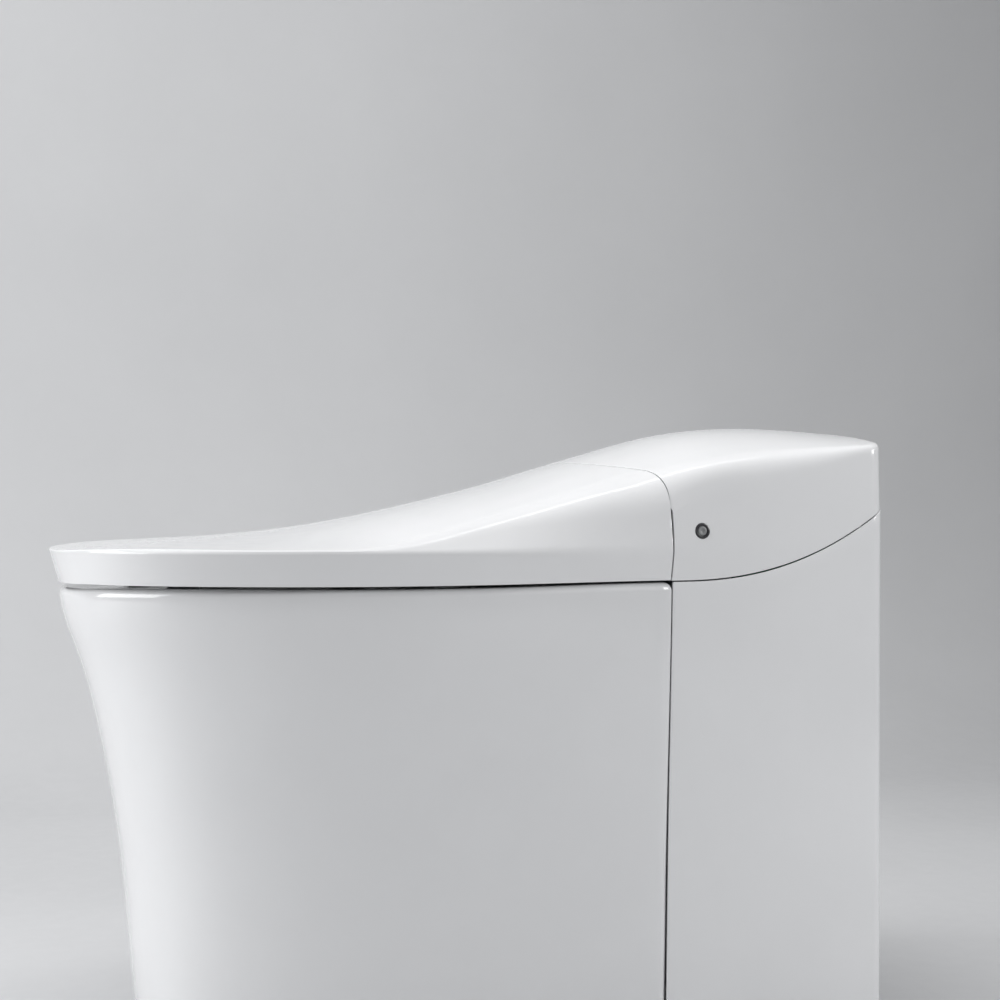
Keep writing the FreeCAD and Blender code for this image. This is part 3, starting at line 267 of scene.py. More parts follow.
# ---------------------------------------------------------------- finishes
def finish(name, dark, light, rough=(0.1, 0.2), scale=18.0, bump=0.02, bump_scale=140.0, coat=0.0, metal=0.0,
           spec=0.5, coat_rough=0.05, sss=0.0, speckle=0.0, transmission=0.0):
    m = bpy.data.materials.new(name)
    m.use_nodes = True
    nt = m.node_tree
    nt.nodes.clear()
    out = nt.nodes.new("ShaderNodeOutputMaterial")
    sh = nt.nodes.new("ShaderNodeBsdfPrincipled")
    nt.links.new(sh.outputs["BSDF"], out.inputs["Surface"])
    co = nt.nodes.new("ShaderNodeTexCoord")
    big = nt.nodes.new("ShaderNodeTexNoise")
    big.inputs["Scale"].default_value = scale
    big.inputs["Detail"].default_value = 5.0
    big.inputs["Roughness"].default_value = 0.55
    nt.links.new(co.outputs["Object"], big.inputs["Vector"])
    ramp = nt.nodes.new("ShaderNodeValToRGB")
    ramp.color_ramp.elements[0].position = 0.3
    ramp.color_ramp.elements[1].position = 0.7
    ramp.color_ramp.elements[0].color = (*dark, 1)
    ramp.color_ramp.elements[1].color = (*light, 1)
    nt.links.new(big.outputs["Fac"], ramp.inputs["Fac"])
    nt.links.new(ramp.outputs["Color"], sh.inputs["Base Color"])
    fine = nt.nodes.new("ShaderNodeTexNoise")
    fine.inputs["Scale"].default_value = bump_scale
    fine.inputs["Detail"].default_value = 3.0
    nt.links.new(co.outputs["Object"], fine.inputs["Vector"])
    mr = nt.nodes.new("ShaderNodeMapRange")
    mr.inputs["From Min"].default_value = 0.3
    mr.inputs["From Max"].default_value = 0.7
    mr.inputs["To Min"].default_value = rough[0]
    mr.inputs["To Max"].default_value = rough[1]
    nt.links.new(fine.outputs["Fac"], mr.inputs["Value"])
    nt.links.new(mr.outputs["Result"], sh.inputs["Roughness"])
    bp = nt.nodes.new("ShaderNodeBump")
    bp.inputs["Strength"].default_value = bump
    bp.inputs["Distance"].default_value = 0.001
    nt.links.new(fine.outputs["Fac"], bp.inputs["Height"])
    nt.links.new(bp.outputs["Normal"], sh.inputs["Normal"])
    sh.inputs["Metallic"].default_value = metal
    sh.inputs["Specular IOR Level"].default_value = spec
    sh.inputs["Coat Weight"].default_value = coat
    sh.inputs["Coat Roughness"].default_value = coat_rough
    sh.inputs["Subsurface Weight"].default_value = sss
    sh.inputs["Subsurface Scale"].default_value = 0.002
    sh.inputs["Transmission Weight"].default_value = transmission
    return m


MAT = {
    "china": finish("glazed_china", (0.795, 0.80, 0.81), (0.825, 0.83, 0.84), (0.08, 0.13), 7.0, 0.004, 40.0, coat=0.5, coat_rough=0.03),
    "white_plastic": finish("gloss_white", (0.815, 0.82, 0.83), (0.84, 0.845, 0.855), (0.135, 0.155), 9.0, 0.0012, 60.0, coat=0.35, coat_rough=0.05),
    "light_grey_plastic": finish("pale_grey_plastic", (0.60, 0.61, 0.62), (0.66, 0.67, 0.68), (0.35, 0.5), 22.0, 0.06, 420.0),
    "dark_plastic": finish("dark_plastic", (0.025, 0.026, 0.028), (0.05, 0.052, 0.055), (0.4, 0.55), 30.0, 0.08, 500.0),
    "dark_ring": finish("dark_gloss_ring", (0.02, 0.02, 0.022), (0.045, 0.045, 0.05), (0.18, 0.3), 60.0, 0.03, 300.0, coat=0.3),
    "button_grey": finish("button_grey", (0.20, 0.205, 0.21), (0.27, 0.275, 0.28), (0.3, 0.42), 80.0, 0.03, 400.0),
    "smoked_window": finish("smoked_window", (0.012, 0.012, 0.014), (0.03, 0.03, 0.034), (0.06, 0.12), 40.0, 0.01, 120.0, coat=0.6),
    "frosted_window": finish("frosted_window", (0.62, 0.70, 0.76), (0.76, 0.82, 0.86), (0.3, 0.45), 40.0, 0.03, 300.0, sss=0.3),
    "zinc": finish("zinc_plate", (0.42, 0.43, 0.45), (0.60, 0.61, 0.63), (0.28, 0.5), 65.0, 0.08, 260.0, metal=1.0),
    "steel": finish("brushed_steel", (0.46, 0.46, 0.47), (0.60, 0.60, 0.61), (0.2, 0.36), 90.0, 0.05, 500.0, metal=1.0),
    "nickel_brass": finish("nickel_brass", (0.52, 0.50, 0.46), (0.64, 0.62, 0.58), (0.18, 0.32), 70.0, 0.04, 400.0, metal=1.0),
    "heater_foil": finish("heater_foil", (0.45, 0.30, 0.16), (0.60, 0.42, 0.24), (0.3, 0.45), 50.0, 0.08, 300.0, metal=0.6),
    "board_green": finish("board_green", (0.015, 0.10, 0.05), (0.03, 0.16, 0.08), (0.3, 0.45), 60.0, 0.08, 300.0),
    "black_rubber": finish("black_rubber", (0.015, 0.015, 0.015), (0.035, 0.035, 0.035), (0.6, 0.8), 50.0, 0.15, 600.0),
    "black_foam": finish("black_foam", (0.01, 0.01, 0.01), (0.04, 0.04, 0.04), (0.8, 0.95), 200.0, 0.5, 500.0),
    "soft_bumper": finish("soft_bumper", (0.50, 0.50, 0.49), (0.60, 0.60, 0.59), (0.5, 0.65), 60.0, 0.1, 500.0),
}
slots = {s["node"]: s["material_slot"] for s in frame["record"]["subparts"]}


def dress(name, slot):
    # a carried-over CAD node takes the finish of its slot
    ob = frame["nodes"][name]
    ob.data.materials.clear()
    ob.data.materials.append(MAT[slot])
    for p in ob.data.polygons:
        p.material_index = 0
    return ob


def part(ob, body, slot, *replaced):
    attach(ob, body)
    if replaced:
        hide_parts(*replaced)
    return ob


# ---------------------------------------------------------------- upper body: stations round the outline
def front_point(phi, z):
    # the rounded front, phi 0 at the widest place and 90 degrees at the tip
    if z <= CREASE:
        k = (z - 397.5) / 27.5
        half = 205.5 + 4.5 * k
        tip = -347.0 + (TIP + 347.0) * k
    else:
        half = 210.0 - 0.8 * (z - CREASE)
        tip = TIP + 0.8 * (z - CREASE)
    c, s = max(0.0, math.cos(phi)), max(0.0, math.sin(phi))
    return half * c ** 0.8, YM - (YM - tip) * s ** 0.8


def station_point(st, z):
    kind, t = st
    if kind == "front":
        x, y = front_point(t, z)
    elif kind == "lid":
        y_end = seam_y_on_side(z, -0.7)
        y = YM + (y_end - YM) * t
        x = side_x(y, z)
    elif kind == "side":
        y0 = seam_y_on_side(z, 0.7)
        y = y0 + (343.0 - y0) * t
        x = side_x(y, z)
    elif kind == "corner":
        xs = side_x(343.0, z)
        a = math.pi / 2 * t
        x, y = xs - 12.0 + 12.0 * math.cos(a), 343.0 + 12.0 * math.sin(a)
    else:
        x, y = (side_x(343.0, z) - 12.0) * (1 - t), REAR
    return x, y


def ridge_z(st):
    z = CREASE + 5.0
    for _ in range(40):
        x, y = station_point(st, z)
        z = 0.5 * z + 0.5 * crown(x, y)
    return z


def path_point(st, xr, yr, q):
    # the way in plan from the ridge to the middle of the top
    kind, t = st
    x = xr * (1 - q)
    if kind == "front":
        ysp = YM - 150.0 * (t / (math.pi / 2)) ** 1.3
        return x, yr + (ysp - yr) * q
    if kind == "lid":
        ysp = YM + (109.3 - YM) * t
        bow = t * t
    elif kind == "side":
        ysp = 110.7 + 190.0 * t
        bow = (1 - t) ** 2
    elif kind == "corner":
        ysp, bow = 300.7 + 12.0 * t, 0.0
    else:
        ysp, bow = 312.7 + 36.0 * t, 0.0
    dy = bow * (seam_at(x) - seam_at(xr))
    full = bow * (seam_at(0) - seam_at(xr))
    return x, yr + dy + (ysp - yr - full) * q


def profile_of(st, z_low, crease=True):
    # points from the lower edge over the crease and the ridge to the middle of the top
    zr = ridge_z(st)
    xr, yr = station_point(st, zr)
    ridge = (xr, yr, zr)
    z0 = z_low(station_point(st, CREASE)[1])
    x0, y0 = station_point(st, z0)
    low = (x0, y0, z0)
    def with_crease():
        xc, yc = station_point(st, CREASE)
        cr = (xc, yc, CREASE)
        rc = min(crease_round(yc), 0.42 * dist(cr, ridge), 0.3 * dist(low, cr))
        a = lerp(cr, low, rc / dist(cr, low))
        b = lerp(cr, ridge, rc / dist(cr, ridge))
        rr = min(ridge_round(yr), 0.5 * dist(cr, ridge))
        c = lerp(ridge, cr, rr / dist(cr, ridge))
        got = [lerp(low, a, i / 8) for i in range(8)]
        got += bez(a, cr, b, 5)[:-1]
        return got + [lerp(b, c, i / 8) for i in range(8)] + [c]

    def merged():
        # near the tip the crease and the ridge are one edge
        span = dist(low, ridge)
        a, b, c = (lerp(ridge, low, t / span) for t in (3.4, 2.6, 1.6))
        got = [lerp(low, a, i / 8) for i in range(8)]
        got += [lerp(a, b, i / 5) for i in range(5)]
        return got + [lerp(b, c, i / 8) for i in range(8)] + [c]

    if crease:
        w = min(1.0, max(0.0, (zr - CREASE - 0.8) / 3.0))
        w = w * w * (3 - 2 * w)
        if w <= 0.0:
            pts = merged()
        elif w >= 1.0:
            pts = with_crease()
        else:
            pts = [lerp(p, q, w) for p, q in zip(merged(), with_crease())]
        start = pts.pop()
    else:
        pts = []
        rr = min(ridge_round(yr), 0.5 * dist(low, ridge))
        c = lerp(ridge, low, rr / dist(low, ridge))
        for i in range(21):
            z = z0 + (c[2] - z0) * i / 21
            x, y = station_point(st, z)
            pts.append((x, y, z))
        start = c
    full = max(1.0, math.hypot(xr, path_point(st, xr, yr, 1.0)[1] - yr))
    qr = min(0.45, ridge_round(yr) / full)
    bx, by = path_point(st, xr, yr, qr)
    pts += bez(start, ridge, (bx, by, crown(bx, by)), 9)[:-1]
    n = 30
    for i in range(n + 1):
        q = qr + (1 - qr) * i / n
        x, y = path_point(st, xr, yr, q)
        pts.append((x, y, crown(x, y)))
    return pts


def mirrored(rows, first_shared=True):
    # rows run from the middle to one side; the other side is the mirror image
    left = [[(-x, y, z) for x, y, z in r] for r in reversed(rows[1 if first_shared else 0:])]
    return left + rows


def ease(n, a, b, power=1.0):
    return [a + (b - a) * (i / n) ** power for i in range(n + 1)]


# ---------------------------------------------------------------- lid
right = [("front", math.pi / 2 * (1 - i / 84) ** 1.15) for i in range(84)] + [("lid", i / 70) for i in range(71)]
rows = [profile_of(st, lid_foot) for st in right]
lid = grid_obj("lid_shell_visual", mirrored(rows), MAT["white_plastic"])
point_out(lid, (0, -120, 405))
shell(lid, 3.0, 1.2, 5)
part(lid, "lid", "white_plastic", "lid_shell")

# ---------------------------------------------------------------- housing cover
right = [("side", i / 70) for i in range(70)] + [("corner", i / 14) for i in range(14)] + [("rear", i / 46) for i in range(47)]
rows = [profile_of(st, panel_level, crease=False) for st in right]
rows = [[(-x, y, z) for x, y, z in r] for r in rows] + [r for r in reversed(rows[:-1])]
cover = grid_obj("housing_cover_visual", rows, MAT["white_plastic"])
point_out(cover, (0, 240, 420))
shell(cover, 3.0, 0.5)
part(cover, "pan", "white_plastic", "housing_cover")


# ---------------------------------------------------------------- side panels
def panel_x(y, z):
    def level(zz):
        if zz <= 200:
            k = (zz - 3) / 197
            seam, rear = 172.63 + (179.5 - 172.63) * k, 182.0 + 0.2 * k
        else:
            k = (zz - 200) / 224
            seam, rear = 179.5 + 11.82 * k, 182.2 + 0.9 * k
        return seam, rear
    seam, rear = level(z)
    u = (y - 155.4) / (355 - 155.4)
    return rear + (seam - rear) * max(0.0, 1 - u) ** 1.6


def panel_top(y):
    return panel_level(y) - 1.25


def panel_rows():
    rows = []
    cols = [("s", 155.4 + (343 - 155.4) * i / 64) for i in range(64)] + [("c", i / 12) for i in range(13)] + \
           [("r", i / 5) for i in range(1, 6)]
    for kind, t in cols:
        row = []
        y = t if kind == "s" else 343 + 12 * math.sin(math.pi / 2 * t) if kind == "c" else 355.0
        top = panel_top(y)
        for j in range(41):
            z = 3.0 + (top - 3.0) * j / 40
            if kind == "s":
                x = panel_x(y, z)
            else:
                xs = panel_x(343.0, z)
                x = xs - 12 + 12 * math.cos(math.pi / 2 * t) if kind == "c" else xs - 12 + (140 - xs + 12) * t
            row.append((x, y, z))
        rows.append(row)
    return rows


for side, sx in (("right", 1), ("left", -1)):
    rows = [[(sx * x, y, z) for x, y, z in r] for r in panel_rows()]
    ob = grid_obj("side_panel_%s_visual" % side, rows, MAT["white_plastic"])
    point_out(ob, (sx * 60, 250, 200))
    shell(ob, 3.0, 0.3)
    part(ob, "pan", "white_plastic", "side_panel_%s" % side)
# the opening for the water pipe at the back of the right panel
notch = block("notch_tool", (136, 344, 76), (167, 362, 114), MAT["white_plastic"], bevel=3.0)
ob = bpy.data.objects["side_panel_right_visual"]
cutter = ob.modifiers.new("cut", "BOOLEAN")
cutter.operation = "DIFFERENCE"
cutter.object = notch
cutter.solver = "EXACT"
bake(ob)
bpy.data.objects.remove(notch)

# ---------------------------------------------------------------- china
tip_at = spline([(0, -279), (90, -287), (172, -295.8), (258, -311), (333, -330.6), (377, -345), (400, -347)])
half_at = spline([(0, 170), (90, 175), (172, 181), (258, 190), (333, 198.5), (377, 203), (400, 204)])
seam_half_at = spline([(0, 172), (90, 175.5), (172, 178.5), (258, 183), (333, 187), (377, 189), (400, 190)])
basin_a = spline([(138, 30), (160, 50), (200, 88), (250, 128), (310, 160), (360, 176), (402, 180)])
basin_b = spline([(138, 29), (160, 45), (200, 74), (250, 102), (310, 124), (360, 137), (402, 141)])
basin_y = spline([(138, -95), (160, -96), (200, -98), (250, -101), (310, -104), (360, -105), (402, -105)])
PAN_END, PAN_L, PAN_D = 154.6, 15.0, 3.8


def pan_point(st, z, inset):
    kind, t = st
    zc = min(z, 400.0)
    tip, half, seam = tip_at(zc) + inset, half_at(zc) - inset, seam_half_at(zc) - inset
    end = PAN_END - inset
    r = max(3.0, PAN_L - 0.5 * inset)
    d = max(1.0, PAN_D - 0.2 * inset)

    def side(y):
        u = (y + 70.0) / (154.5 + 70.0)
        return seam + (half - seam) * (1 - u * u)
    if kind == "front":
        return half * max(0.0, math.cos(t)) ** (2 / 2.35), -70.0 - (-70.0 - tip) * max(0.0, math.sin(t)) ** (2 / 2.35)
    if kind == "side":
        y = -70.0 + (end - r + 70.0) * t
        return side(y), y
    xs = side(end - r)
    if kind == "corner":
        return xs - d + d * math.cos(math.pi / 2 * t), end - r + r * math.sin(math.pi / 2 * t)
    return (xs - d) * (1 - t), end


half_st = [("front", math.pi / 2 * (1 - i / 80) ** 1.1) for i in range(80)] + [("side", i / 50) for i in range(50)] + \
          [("corner", i / 16) for i in range(16)] + [("rear", i / 24) for i in range(25)]


def closed(fn):
    # a closed ring from a function of the station: right half from the tip to the rear, then back on the left
    r = [fn(st) for st in half_st]
    return r + [(-x, y, z) for x, y, z in reversed(r[1:-1])]


def pan_ring(level, inset):
    # level(rim height at this station) gives the height
    def fn(st):
        y0 = pan_point(st, 400.0, 0.0)[1]
        z = level(rim_level(y0))
        x, y = pan_point(st, z, inset)
        return (x, y, z)
    return closed(fn)


def oval_ring(z_of, grow=0.0, aspect=1.0):
    def fn(st):
        x0, y0 = pan_point(st, 400.0, 0.0)
        a = math.atan2((y0 + 105.0) / 1.35, x0)
        z = z_of(rim_level(y0))
        zz = min(402.0, max(138.0, z))
        return ((basin_b(zz) + grow) * math.cos(a), basin_y(zz) + (basin_a(zz) + grow) * math.sin(a), z)
    return closed(fn)


rings = []
rings.append(pan_ring(lambda h: 60.0, 12.0))
rings.append(pan_ring(lambda h: 2.0, 12.0))
rings.append(pan_ring(lambda h: 0.4, 10.5))
rings.append(pan_ring(lambda h: 0.0, 9.5))
rings.append(pan_ring(lambda h: 0.0, 2.0))
for k in range(1, 5):
    a = math.pi / 2 * k / 4
    rings.append(pan_ring(lambda h, a=a: 2.0 - 2.0 * math.cos(a), 2.0 - 2.0 * math.sin(a)))
RO = 7.0
for k in range(1, 41):
    rings.append(pan_ring(lambda h, k=k: 2.0 + (h - RO - 2.0) * k / 40, 0.0))
for k in range(1, 9):
    a = math.pi / 2 * k / 8
    rings.append(pan_ring(lambda h, a=a: h - RO + RO * math.sin(a), RO * (1 - math.cos(a))))
for k in (0.0, 0.5):
    rings.append([lerp(p, q, 0.3 + k) for p, q in zip(pan_ring(lambda h: h, RO), oval_ring(lambda h: h, 7.0))])
for k in range(0, 9):
    a = math.pi / 2 * k / 8
    rings.append(oval_ring(lambda h, a=a: h - 7.0 + 7.0 * math.cos(a), 7.0 * (1 - math.sin(a))))
for k in range(1, 37):
    t = k / 36
    rings.append(oval_ring(lambda h, t=t: (h - 7.0) + (140.0 - (h - 7.0)) * t, 0.0))
for z, r in ((132, 27.2), (124, 26.2), (112, 26.0), (90, 26.0), (76, 26.0)):
    def fn(st, z=z, r=r):
        x0, y0 = pan_point(st, 400.0, 0.0)
        a = math.atan2((y0 + 105.0) / 1.35, x0)
        return (r * math.cos(a), -95.0 + r * math.sin(a), z)
    rings.append(closed(fn))
nst = len(rings[0])
verts = [p for r in rings for p in r]
faces = grid_faces(len(rings), nst, close_v=True)
faces.append(tuple(reversed(range(nst))))
faces.append(tuple(range((len(rings) - 1) * nst, len(rings) * nst)))
pan_mesh = obj_from("china_pan_visual", verts, faces, MAT["china"])
recess = block("recess_tool", (-112, 60, 322), (112, 230, 440), MAT["china"], bevel=8.0, segments=5)
cutter = pan_mesh.modifiers.new("cut", "BOOLEAN")
cutter.operation = "DIFFERENCE"
cutter.object = recess
cutter.solver = "EXACT"
rounded(pan_mesh, 1.2, 3, sharp=50.0, angle=65.0)
bpy.data.objects.remove(recess)
china_nodes = sorted(n for n in frame["nodes"] if n in ("bowl_china", "china_bowl", "china_base", "china_trap", "china_outlet"))
part(pan_mesh, "pan", "china", *china_nodes)
rear_block = block("china_rear_block_visual", (-128, 148, 0.3), (128, 350, 322), MAT["china"], bevel=8.0, segments=6)
part(rear_block, "pan", "china")
for sx, word in ((1, "right"), (-1, "left")):
    x0, x1 = sorted((sx * 120, sx * 160))
    foot = block("china_foot_%s_visual" % word, (x0, 220, 0.2), (x1, 260, 18), MAT["china"], bevel=3.0)
    bore = lathe("bore_tool", [(0.01, -6.0), (5.5, -6.0), (5.5, 26.0), (0.01, 26.0)], (sx * 144, 240, 0), "z", MAT["china"], 40)
    cutter = foot.modifiers.new("cut", "BOOLEAN")
    cutter.operation = "DIFFERENCE"
    cutter.object = bore
    cutter.solver = "EXACT"
    bake(foot)
    bpy.data.objects.remove(bore)
    part(foot, "pan", "china")


# ---------------------------------------------------------------- seat ring
def seat_outline():
    pts = []
    for i in range(80):
        t = math.pi / 2 * (1 - i / 80) ** 1.1
        pts.append((191.0 * max(0.0, math.cos(t)) ** 0.8, YM - (YM + 334.0) * max(0.0, math.sin(t)) ** 0.8))
    corner_y, r = 130.6, 9.0
    for i in range(50):
        y = YM + (corner_y - r - YM) * i / 50
        pts.append((plan_half(y, 191.0, -334.0, 180.0, 178.0), y))
    xs = plan_half(corner_y - r, 191.0, -334.0, 180.0, 178.0)
    for i in range(10):
        a = math.pi / 2 * i / 10
        pts.append((xs - r + r * math.cos(a), corner_y - r + r * math.sin(a)))
    for i in range(31):
        x = (xs - r) * (1 - i / 30)
        k = min(1.0, max(0.0, (x - 132.0) / 16.0))
        k = k * k * (3 - 2 * k)
        pts.append((x, (seam_at(x) - 7.6) * (1 - k) + corner_y * k))
    return pts + [(-x, y) for x, y in reversed(pts[1:-1])]


def inset_loop(pts, t):
    n = len(pts)
    out = []
    for i in range(n):
        a, b = pts[i - 1], pts[(i + 1) % n]
        dx, dy = b[0] - a[0], b[1] - a[1]
        m = math.hypot(dx, dy) or 1.0
        out.append((pts[i][0] - dy / m * t, pts[i][1] + dx / m * t))
    return out


seat_out = seat_outline()
area = sum(p[0] * q[1] - q[0] * p[1] for p, q in zip(seat_out, seat_out[1:] + seat_out[:1]))
sgn = 1.0 if area > 0 else -1.0


def seat_ring(z, inset):
    return [(x, y, z) for x, y in inset_loop(seat_out, sgn * inset)]


def hole_ring(z, grow):
    ring = []
    for x0, y0 in seat_out:
        a = math.atan2((y0 + 112.0) / 1.34, x0)
        ring.append(((108.0 + grow) * math.cos(a), -112.0 + (145.0 + grow) * math.sin(a), z))
    return ring


rings = [hole_ring(399.2, 5.0), seat_ring(399.2, 6.0)]
for k in range(1, 6):
    a = math.pi / 2 * k / 5
    rings.append(seat_ring(403.2 - 4.0 * math.cos(a), 6.0 - 5.4 * math.sin(a)))
rings.append(seat_ring(405.4, 0.6))
rings.append(seat_ring(405.7, 1.4))
rings.append(seat_ring(406.2, 1.4))
rings.append(seat_ring(406.5, 0.3))
for k in range(0, 7):
    a = math.pi / 2 * k / 6
    rings.append(seat_ring(408.6 + 7.2 * math.sin(a), 0.2 + 8.5 * (1 - math.cos(a))))
top_o, top_i = seat_ring(415.8, 8.7), hole_ring(415.8, 11.0)
for k in range(1, 14):
    t = k / 14
    dip = 2.6 * math.sin(math.pi * t) ** 1.4
    rings.append([(p[0] + (q[0] - p[0]) * t, p[1] + (q[1] - p[1]) * t, 415.8 - dip) for p, q in zip(top_o, top_i)])
for k in range(0, 8):
    a = math.pi / 2 * k / 7
    rings.append(hole_ring(405.8 + 10.0 * math.cos(a), 0.4 + 10.6 * (1 - math.sin(a))))
rings.append(hole_ring(402.4, 0.4))
for k in range(1, 6):
    a = math.pi / 2 * k / 5
    rings.append(hole_ring(402.4 - 3.2 * math.sin(a), 0.4 + 4.6 * (1 - math.cos(a))))
seat = grid_obj("seat_ring_visual", rings, MAT["white_plastic"], close_v=True)
point_out(seat, (0, -112, 408))
bake(seat, 44.0)
part(seat, "seat", "white_plastic", "seat_top", "seat_base", "seat_heater")


# ---------------------------------------------------------------- inside of the lid
def liner_point(st, inset):
    kind, t = st
    if kind == "front":
        return (210.0 - inset) * max(0.0, math.cos(t)) ** 0.8, YM - (YM - TIP - inset) * max(0.0, math.sin(t)) ** 0.8
    y_end = seam_at(190.0 - inset) - 3.8
    y = YM + (y_end - YM) * t
    return plan_half(y, 210.0, TIP, 190.0, 183.0) - inset, y


right = [("front", math.pi / 2 * (1 - i / 72) ** 1.15) for i in range(72)] + [("lid", i / 50) for i in range(51)]
rows = []
for st in right:
    kind, t = st
    row = []
    for inset, z in ((6.2, 425.5), (6.4, 422.6), (7.2, 421.0), (8.8, 420.0), (11.0, 419.6), (16.0, 419.5), (24.0, 419.5),
                     (30.0, 419.5), (32.6, 419.8), (34.4, 420.7), (36.0, 421.9), (38.2, 422.8), (41.0, 423.1), (48.0, 423.2)):
        x, y = liner_point(st, inset)
        row.append((x, y, z))
    x1, y1, z1 = row[-1]
    for i in range(1, 23):
        q = i / 22
        x = x1 * (1 - q)
        if kind == "front":
            ysp = YM - 140.0 * (t / (math.pi / 2)) ** 1.3
            y = y1 + (ysp - y1) * q
        else:
            y = y1 + t * t * (seam_at(x) - seam_at(x1))
        row.append((x, y, z1))
    rows.append(row)
liner = grid_obj("lid_liner_visual", mirrored(rows), MAT["white_plastic"])
me = liner.data
if sum(p.normal.z * p.area for p in me.polygons) > 0:
    me.flip_normals()
shell(liner, 1.6, 0.0, offset=-1.0)
part(liner, "lid", "white_plastic", "lid_liner")
rows = []
for i in range(61):
    x = -166 + 332 * i / 60
    y = seam_at(x) - 6.2
    top = crown(x, y) - 3.2
    rows.append([(x, y, 422.0 + (top - 422.0) * j / 10) for j in range(11)])
bulk = grid_obj("lid_bulkhead_visual", rows, MAT["white_plastic"])
point_out(bulk, (0, -200, 440))
shell(bulk, 2.2, 0.4)
part(bulk, "lid", "white_plastic")

# ---------------------------------------------------------------- lid arms
def arc(cy, cz, r, a0, a1, n):
    return [(cy + r * math.cos(math.radians(a0 + (a1 - a0) * i / n)), cz + r * math.sin(math.radians(a0 + (a1 - a0) * i / n)))
            for i in range(n + 1)]


outline = arc(184, 476, 11.0, 0.0, 270.0, 32)
outline += arc(182.6, 436, 2.0, 0.0, -90.0, 6)
outline += arc(99, 431, 3.0, 90.0, 180.0, 5)
outline += arc(99, 425, 3.0, 180.0, 270.0, 5)
outline += arc(190, 427, 5.0, -90.0, 0.0, 8)
n = len(outline)
for sx, word in ((1, "right"), (-1, "left")):
    verts = [(sx * x, y, z) for x in (170.0, 173.3) for y, z in outline]
    faces = [(i, (i + 1) % n, n + (i + 1) % n, n + i) for i in range(n)] + [tuple(range(n)), tuple(range(2 * n - 1, n - 1, -1))]
    plate = obj_from("lid_arm_%s_visual" % word, verts, faces, MAT[slots["lid_arm_" + word]])
    hole = 6.05 if sx > 0 else 5.1
    bore = lathe("bore_tool", [(0.01, 160.0), (hole, 160.0), (hole, 184.0), (0.01, 184.0)], (0, 184, 476), (sx, 0, 0),
                 MAT[slots["lid_arm_" + word]], 48)
    cutter = plate.modifiers.new("cut", "BOOLEAN")
    cutter.operation = "DIFFERENCE"
    cutter.object = bore
    cutter.solver = "EXACT"
    rounded(plate, 0.5, 3)
    bpy.data.objects.remove(bore)
    part(plate, "lid", slots["lid_arm_" + word], "lid_arm_" + word)
    boss = lathe("lid_arm_boss_%s_visual" % word, [(6.2, -0.3), (6.2, 0.7), (6.5, 1.0), (7.8, 1.0), (8.2, 0.85), (8.5, 0.4), (8.6, -0.3)],
                 (sx * 173.3, 184, 476), (sx, 0, 0), MAT[slots["lid_arm_" + word]], 48)
    part(boss, "lid", slots["lid_arm_" + word])

# ---------------------------------------------------------------- push button
b_lo, b_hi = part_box("button_bezel")
c_lo, c_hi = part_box("button_cap")
bx, by, bz = b_hi.x / MM, (b_lo.y + b_hi.y) / 2 / MM, (b_lo.z + b_hi.z) / 2 / MM
br = (b_hi.z - b_lo.z) / 2 / MM
wall = side_x(by, bz)
lean = Vector((1.0, (side_x(by - 4, bz) - side_x(by + 4, bz)) / 8, (side_x(by, bz - 4) - side_x(by, bz + 4)) / 8))
face = wall + 0.55
opening = lathe("opening_tool", [(0.01, -12.0), (5.45, -12.0), (5.45, 6.0), (0.01, 6.0)], (face, by, bz), tuple(lean), MAT["white_plastic"], 48)
cutter = cover.modifiers.new("cut", "BOOLEAN")
cutter.operation = "DIFFERENCE"
cutter.object = opening
cutter.solver = "EXACT"
bake(cover)
bpy.data.objects.remove(opening)
prof = [(4.3, -4.0), (4.3, -0.75), (4.4, -0.3), (4.7, -0.05), (5.0, 0.0), (6.1, 0.0), (6.6, -0.12), (6.9, -0.45),
        (7.0, -0.9), (7.0, -1.6), (5.5, -1.8), (5.5, -4.0)]
bezel = lathe("button_bezel_visual", prof, (face, by, bz), tuple(lean), MAT["dark_ring"], 72)
part(bezel, "pan", "dark_ring", "button_bezel")
prof = [(0.01, -0.55), (0.9, -0.52), (1.5, -0.35), (1.7, -0.12), (1.9, 0.02), (2.2, 0.1), (3.2, 0.08), (3.7, 0.0), (3.95, -0.18),
        (4.08, -0.5), (4.1, -0.9), (4.1, -2.0), (3.7, -2.2), (0.01, -2.2)]
cap = lathe("button_cap_visual", prof, (face - 0.1, by, bz), tuple(lean), MAT["button_grey"], 72)
part(cap, "button", "button_grey", "button_cap")

# ---------------------------------------------------------------- carried-over pieces
for name in sorted(frame["nodes"]):
    if not frame["nodes"][name].hide_render:
        dress(name, slots[name])

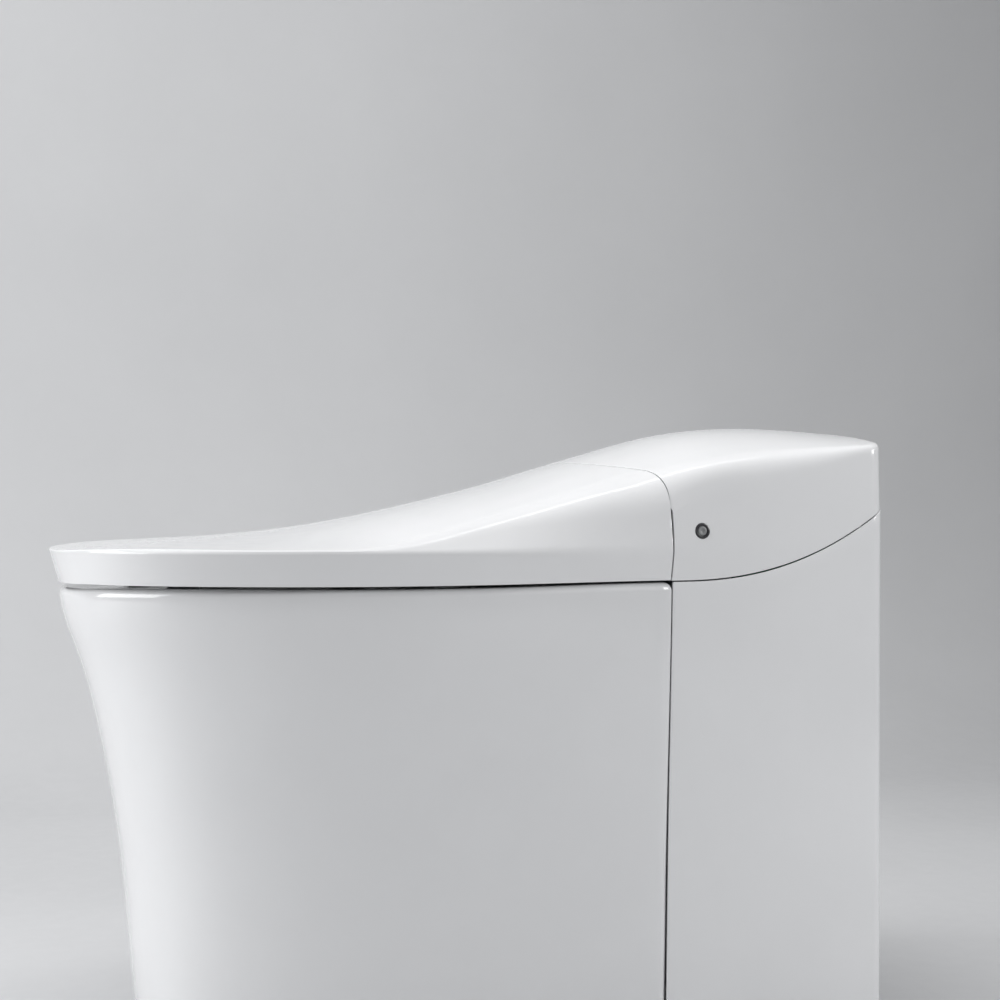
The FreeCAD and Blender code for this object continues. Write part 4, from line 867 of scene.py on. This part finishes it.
# ---------------------------------------------------------------- floor and light
floor_mat = finish("pale_floor", (0.575, 0.58, 0.59), (0.605, 0.61, 0.62), (0.55, 0.7), 2.2, 0.05, 40.0)
back = []
for i in range(41):
    y = -5000 + 250 * i
    row = [(4200.0, y, 0.0), (1000.0, y, 0.0), (0.0, y, 0.0), (-1200.0, y, 0.0)]
    for k in range(1, 13):
        a = math.pi / 2 * k / 12
        row.append((-1200.0 - 900.0 * math.sin(a), y, 900.0 - 900.0 * math.cos(a)))
    row.append((-2100.0, y, 4200.0))
    back.append(row)
floor = grid_obj("floor_sweep", back, floor_mat, weld=False)
me = floor.data
if sum(p.normal.z * p.area for p in me.polygons) < 0:
    me.flip_normals()
for p in me.polygons:
    p.use_smooth = True


def area_light(name, where, target, size, power, size_y=None):
    d = bpy.data.lights.new(name, "AREA")
    d.shape = "RECTANGLE"
    d.size = size
    d.size_y = size_y or size
    d.energy = power
    o = bpy.data.objects.new(name, d)
    o.location = where
    o.rotation_mode = "QUATERNION"
    o.rotation_quaternion = (Vector(target) - Vector(where)).to_track_quat("-Z", "Y")
    bpy.context.scene.collection.objects.link(o)
    o.visible_camera = False
    return o


area_light("ceiling_light", (-0.1, -0.3, 2.6), (0, 0, 0.3), 2.2, 52.0).visible_glossy = False
area_light("ceiling_strip", (0.0, -0.3, 2.55), (0, 0, 0.3), 0.11, 5.0, 2.4)
area_light("front_window", (0.1, -2.9, 1.15), (0, -0.1, 0.3), 2.3, 63.0, 1.75)
area_light("rear_fill", (1.5, 1.6, 1.15), (0.18, 0.2, 0.3), 0.7, 20.0, 0.9)
world = bpy.data.worlds.new("soft_room")
bpy.context.scene.world = world
world.use_nodes = True
bg = world.node_tree.nodes["Background"]
bg.inputs["Color"].default_value = (0.54, 0.55, 0.575, 1)
bg.inputs["Strength"].default_value = 0.14

# ---------------------------------------------------------------- camera
F_PX, YAW, CAM, HORIZON = 1973.0, 14.985, (1.770, -0.420, 0.476), 489.9
cam_data = bpy.data.cameras.new("camera")
cam_data.sensor_width = 36.0
cam_data.lens = F_PX * 36.0 / 1000.0
cam_data.clip_start, cam_data.clip_end = 0.05, 50.0
cam_data.dof.use_dof = False
cam = bpy.data.objects.new("camera", cam_data)
bpy.context.scene.collection.objects.link(cam)
bpy.context.scene.camera = cam
pitch = math.atan((500.0 - HORIZON) / F_PX)
psi = math.radians(YAW)
look = Vector((-math.cos(psi) * math.cos(pitch), math.sin(psi) * math.cos(pitch), -math.sin(pitch)))
cam.location = CAM
cam.rotation_mode = "QUATERNION"
cam.rotation_quaternion = look.to_track_quat("-Z", "Y")
bpy.context.scene.view_settings.view_transform = "Standard"
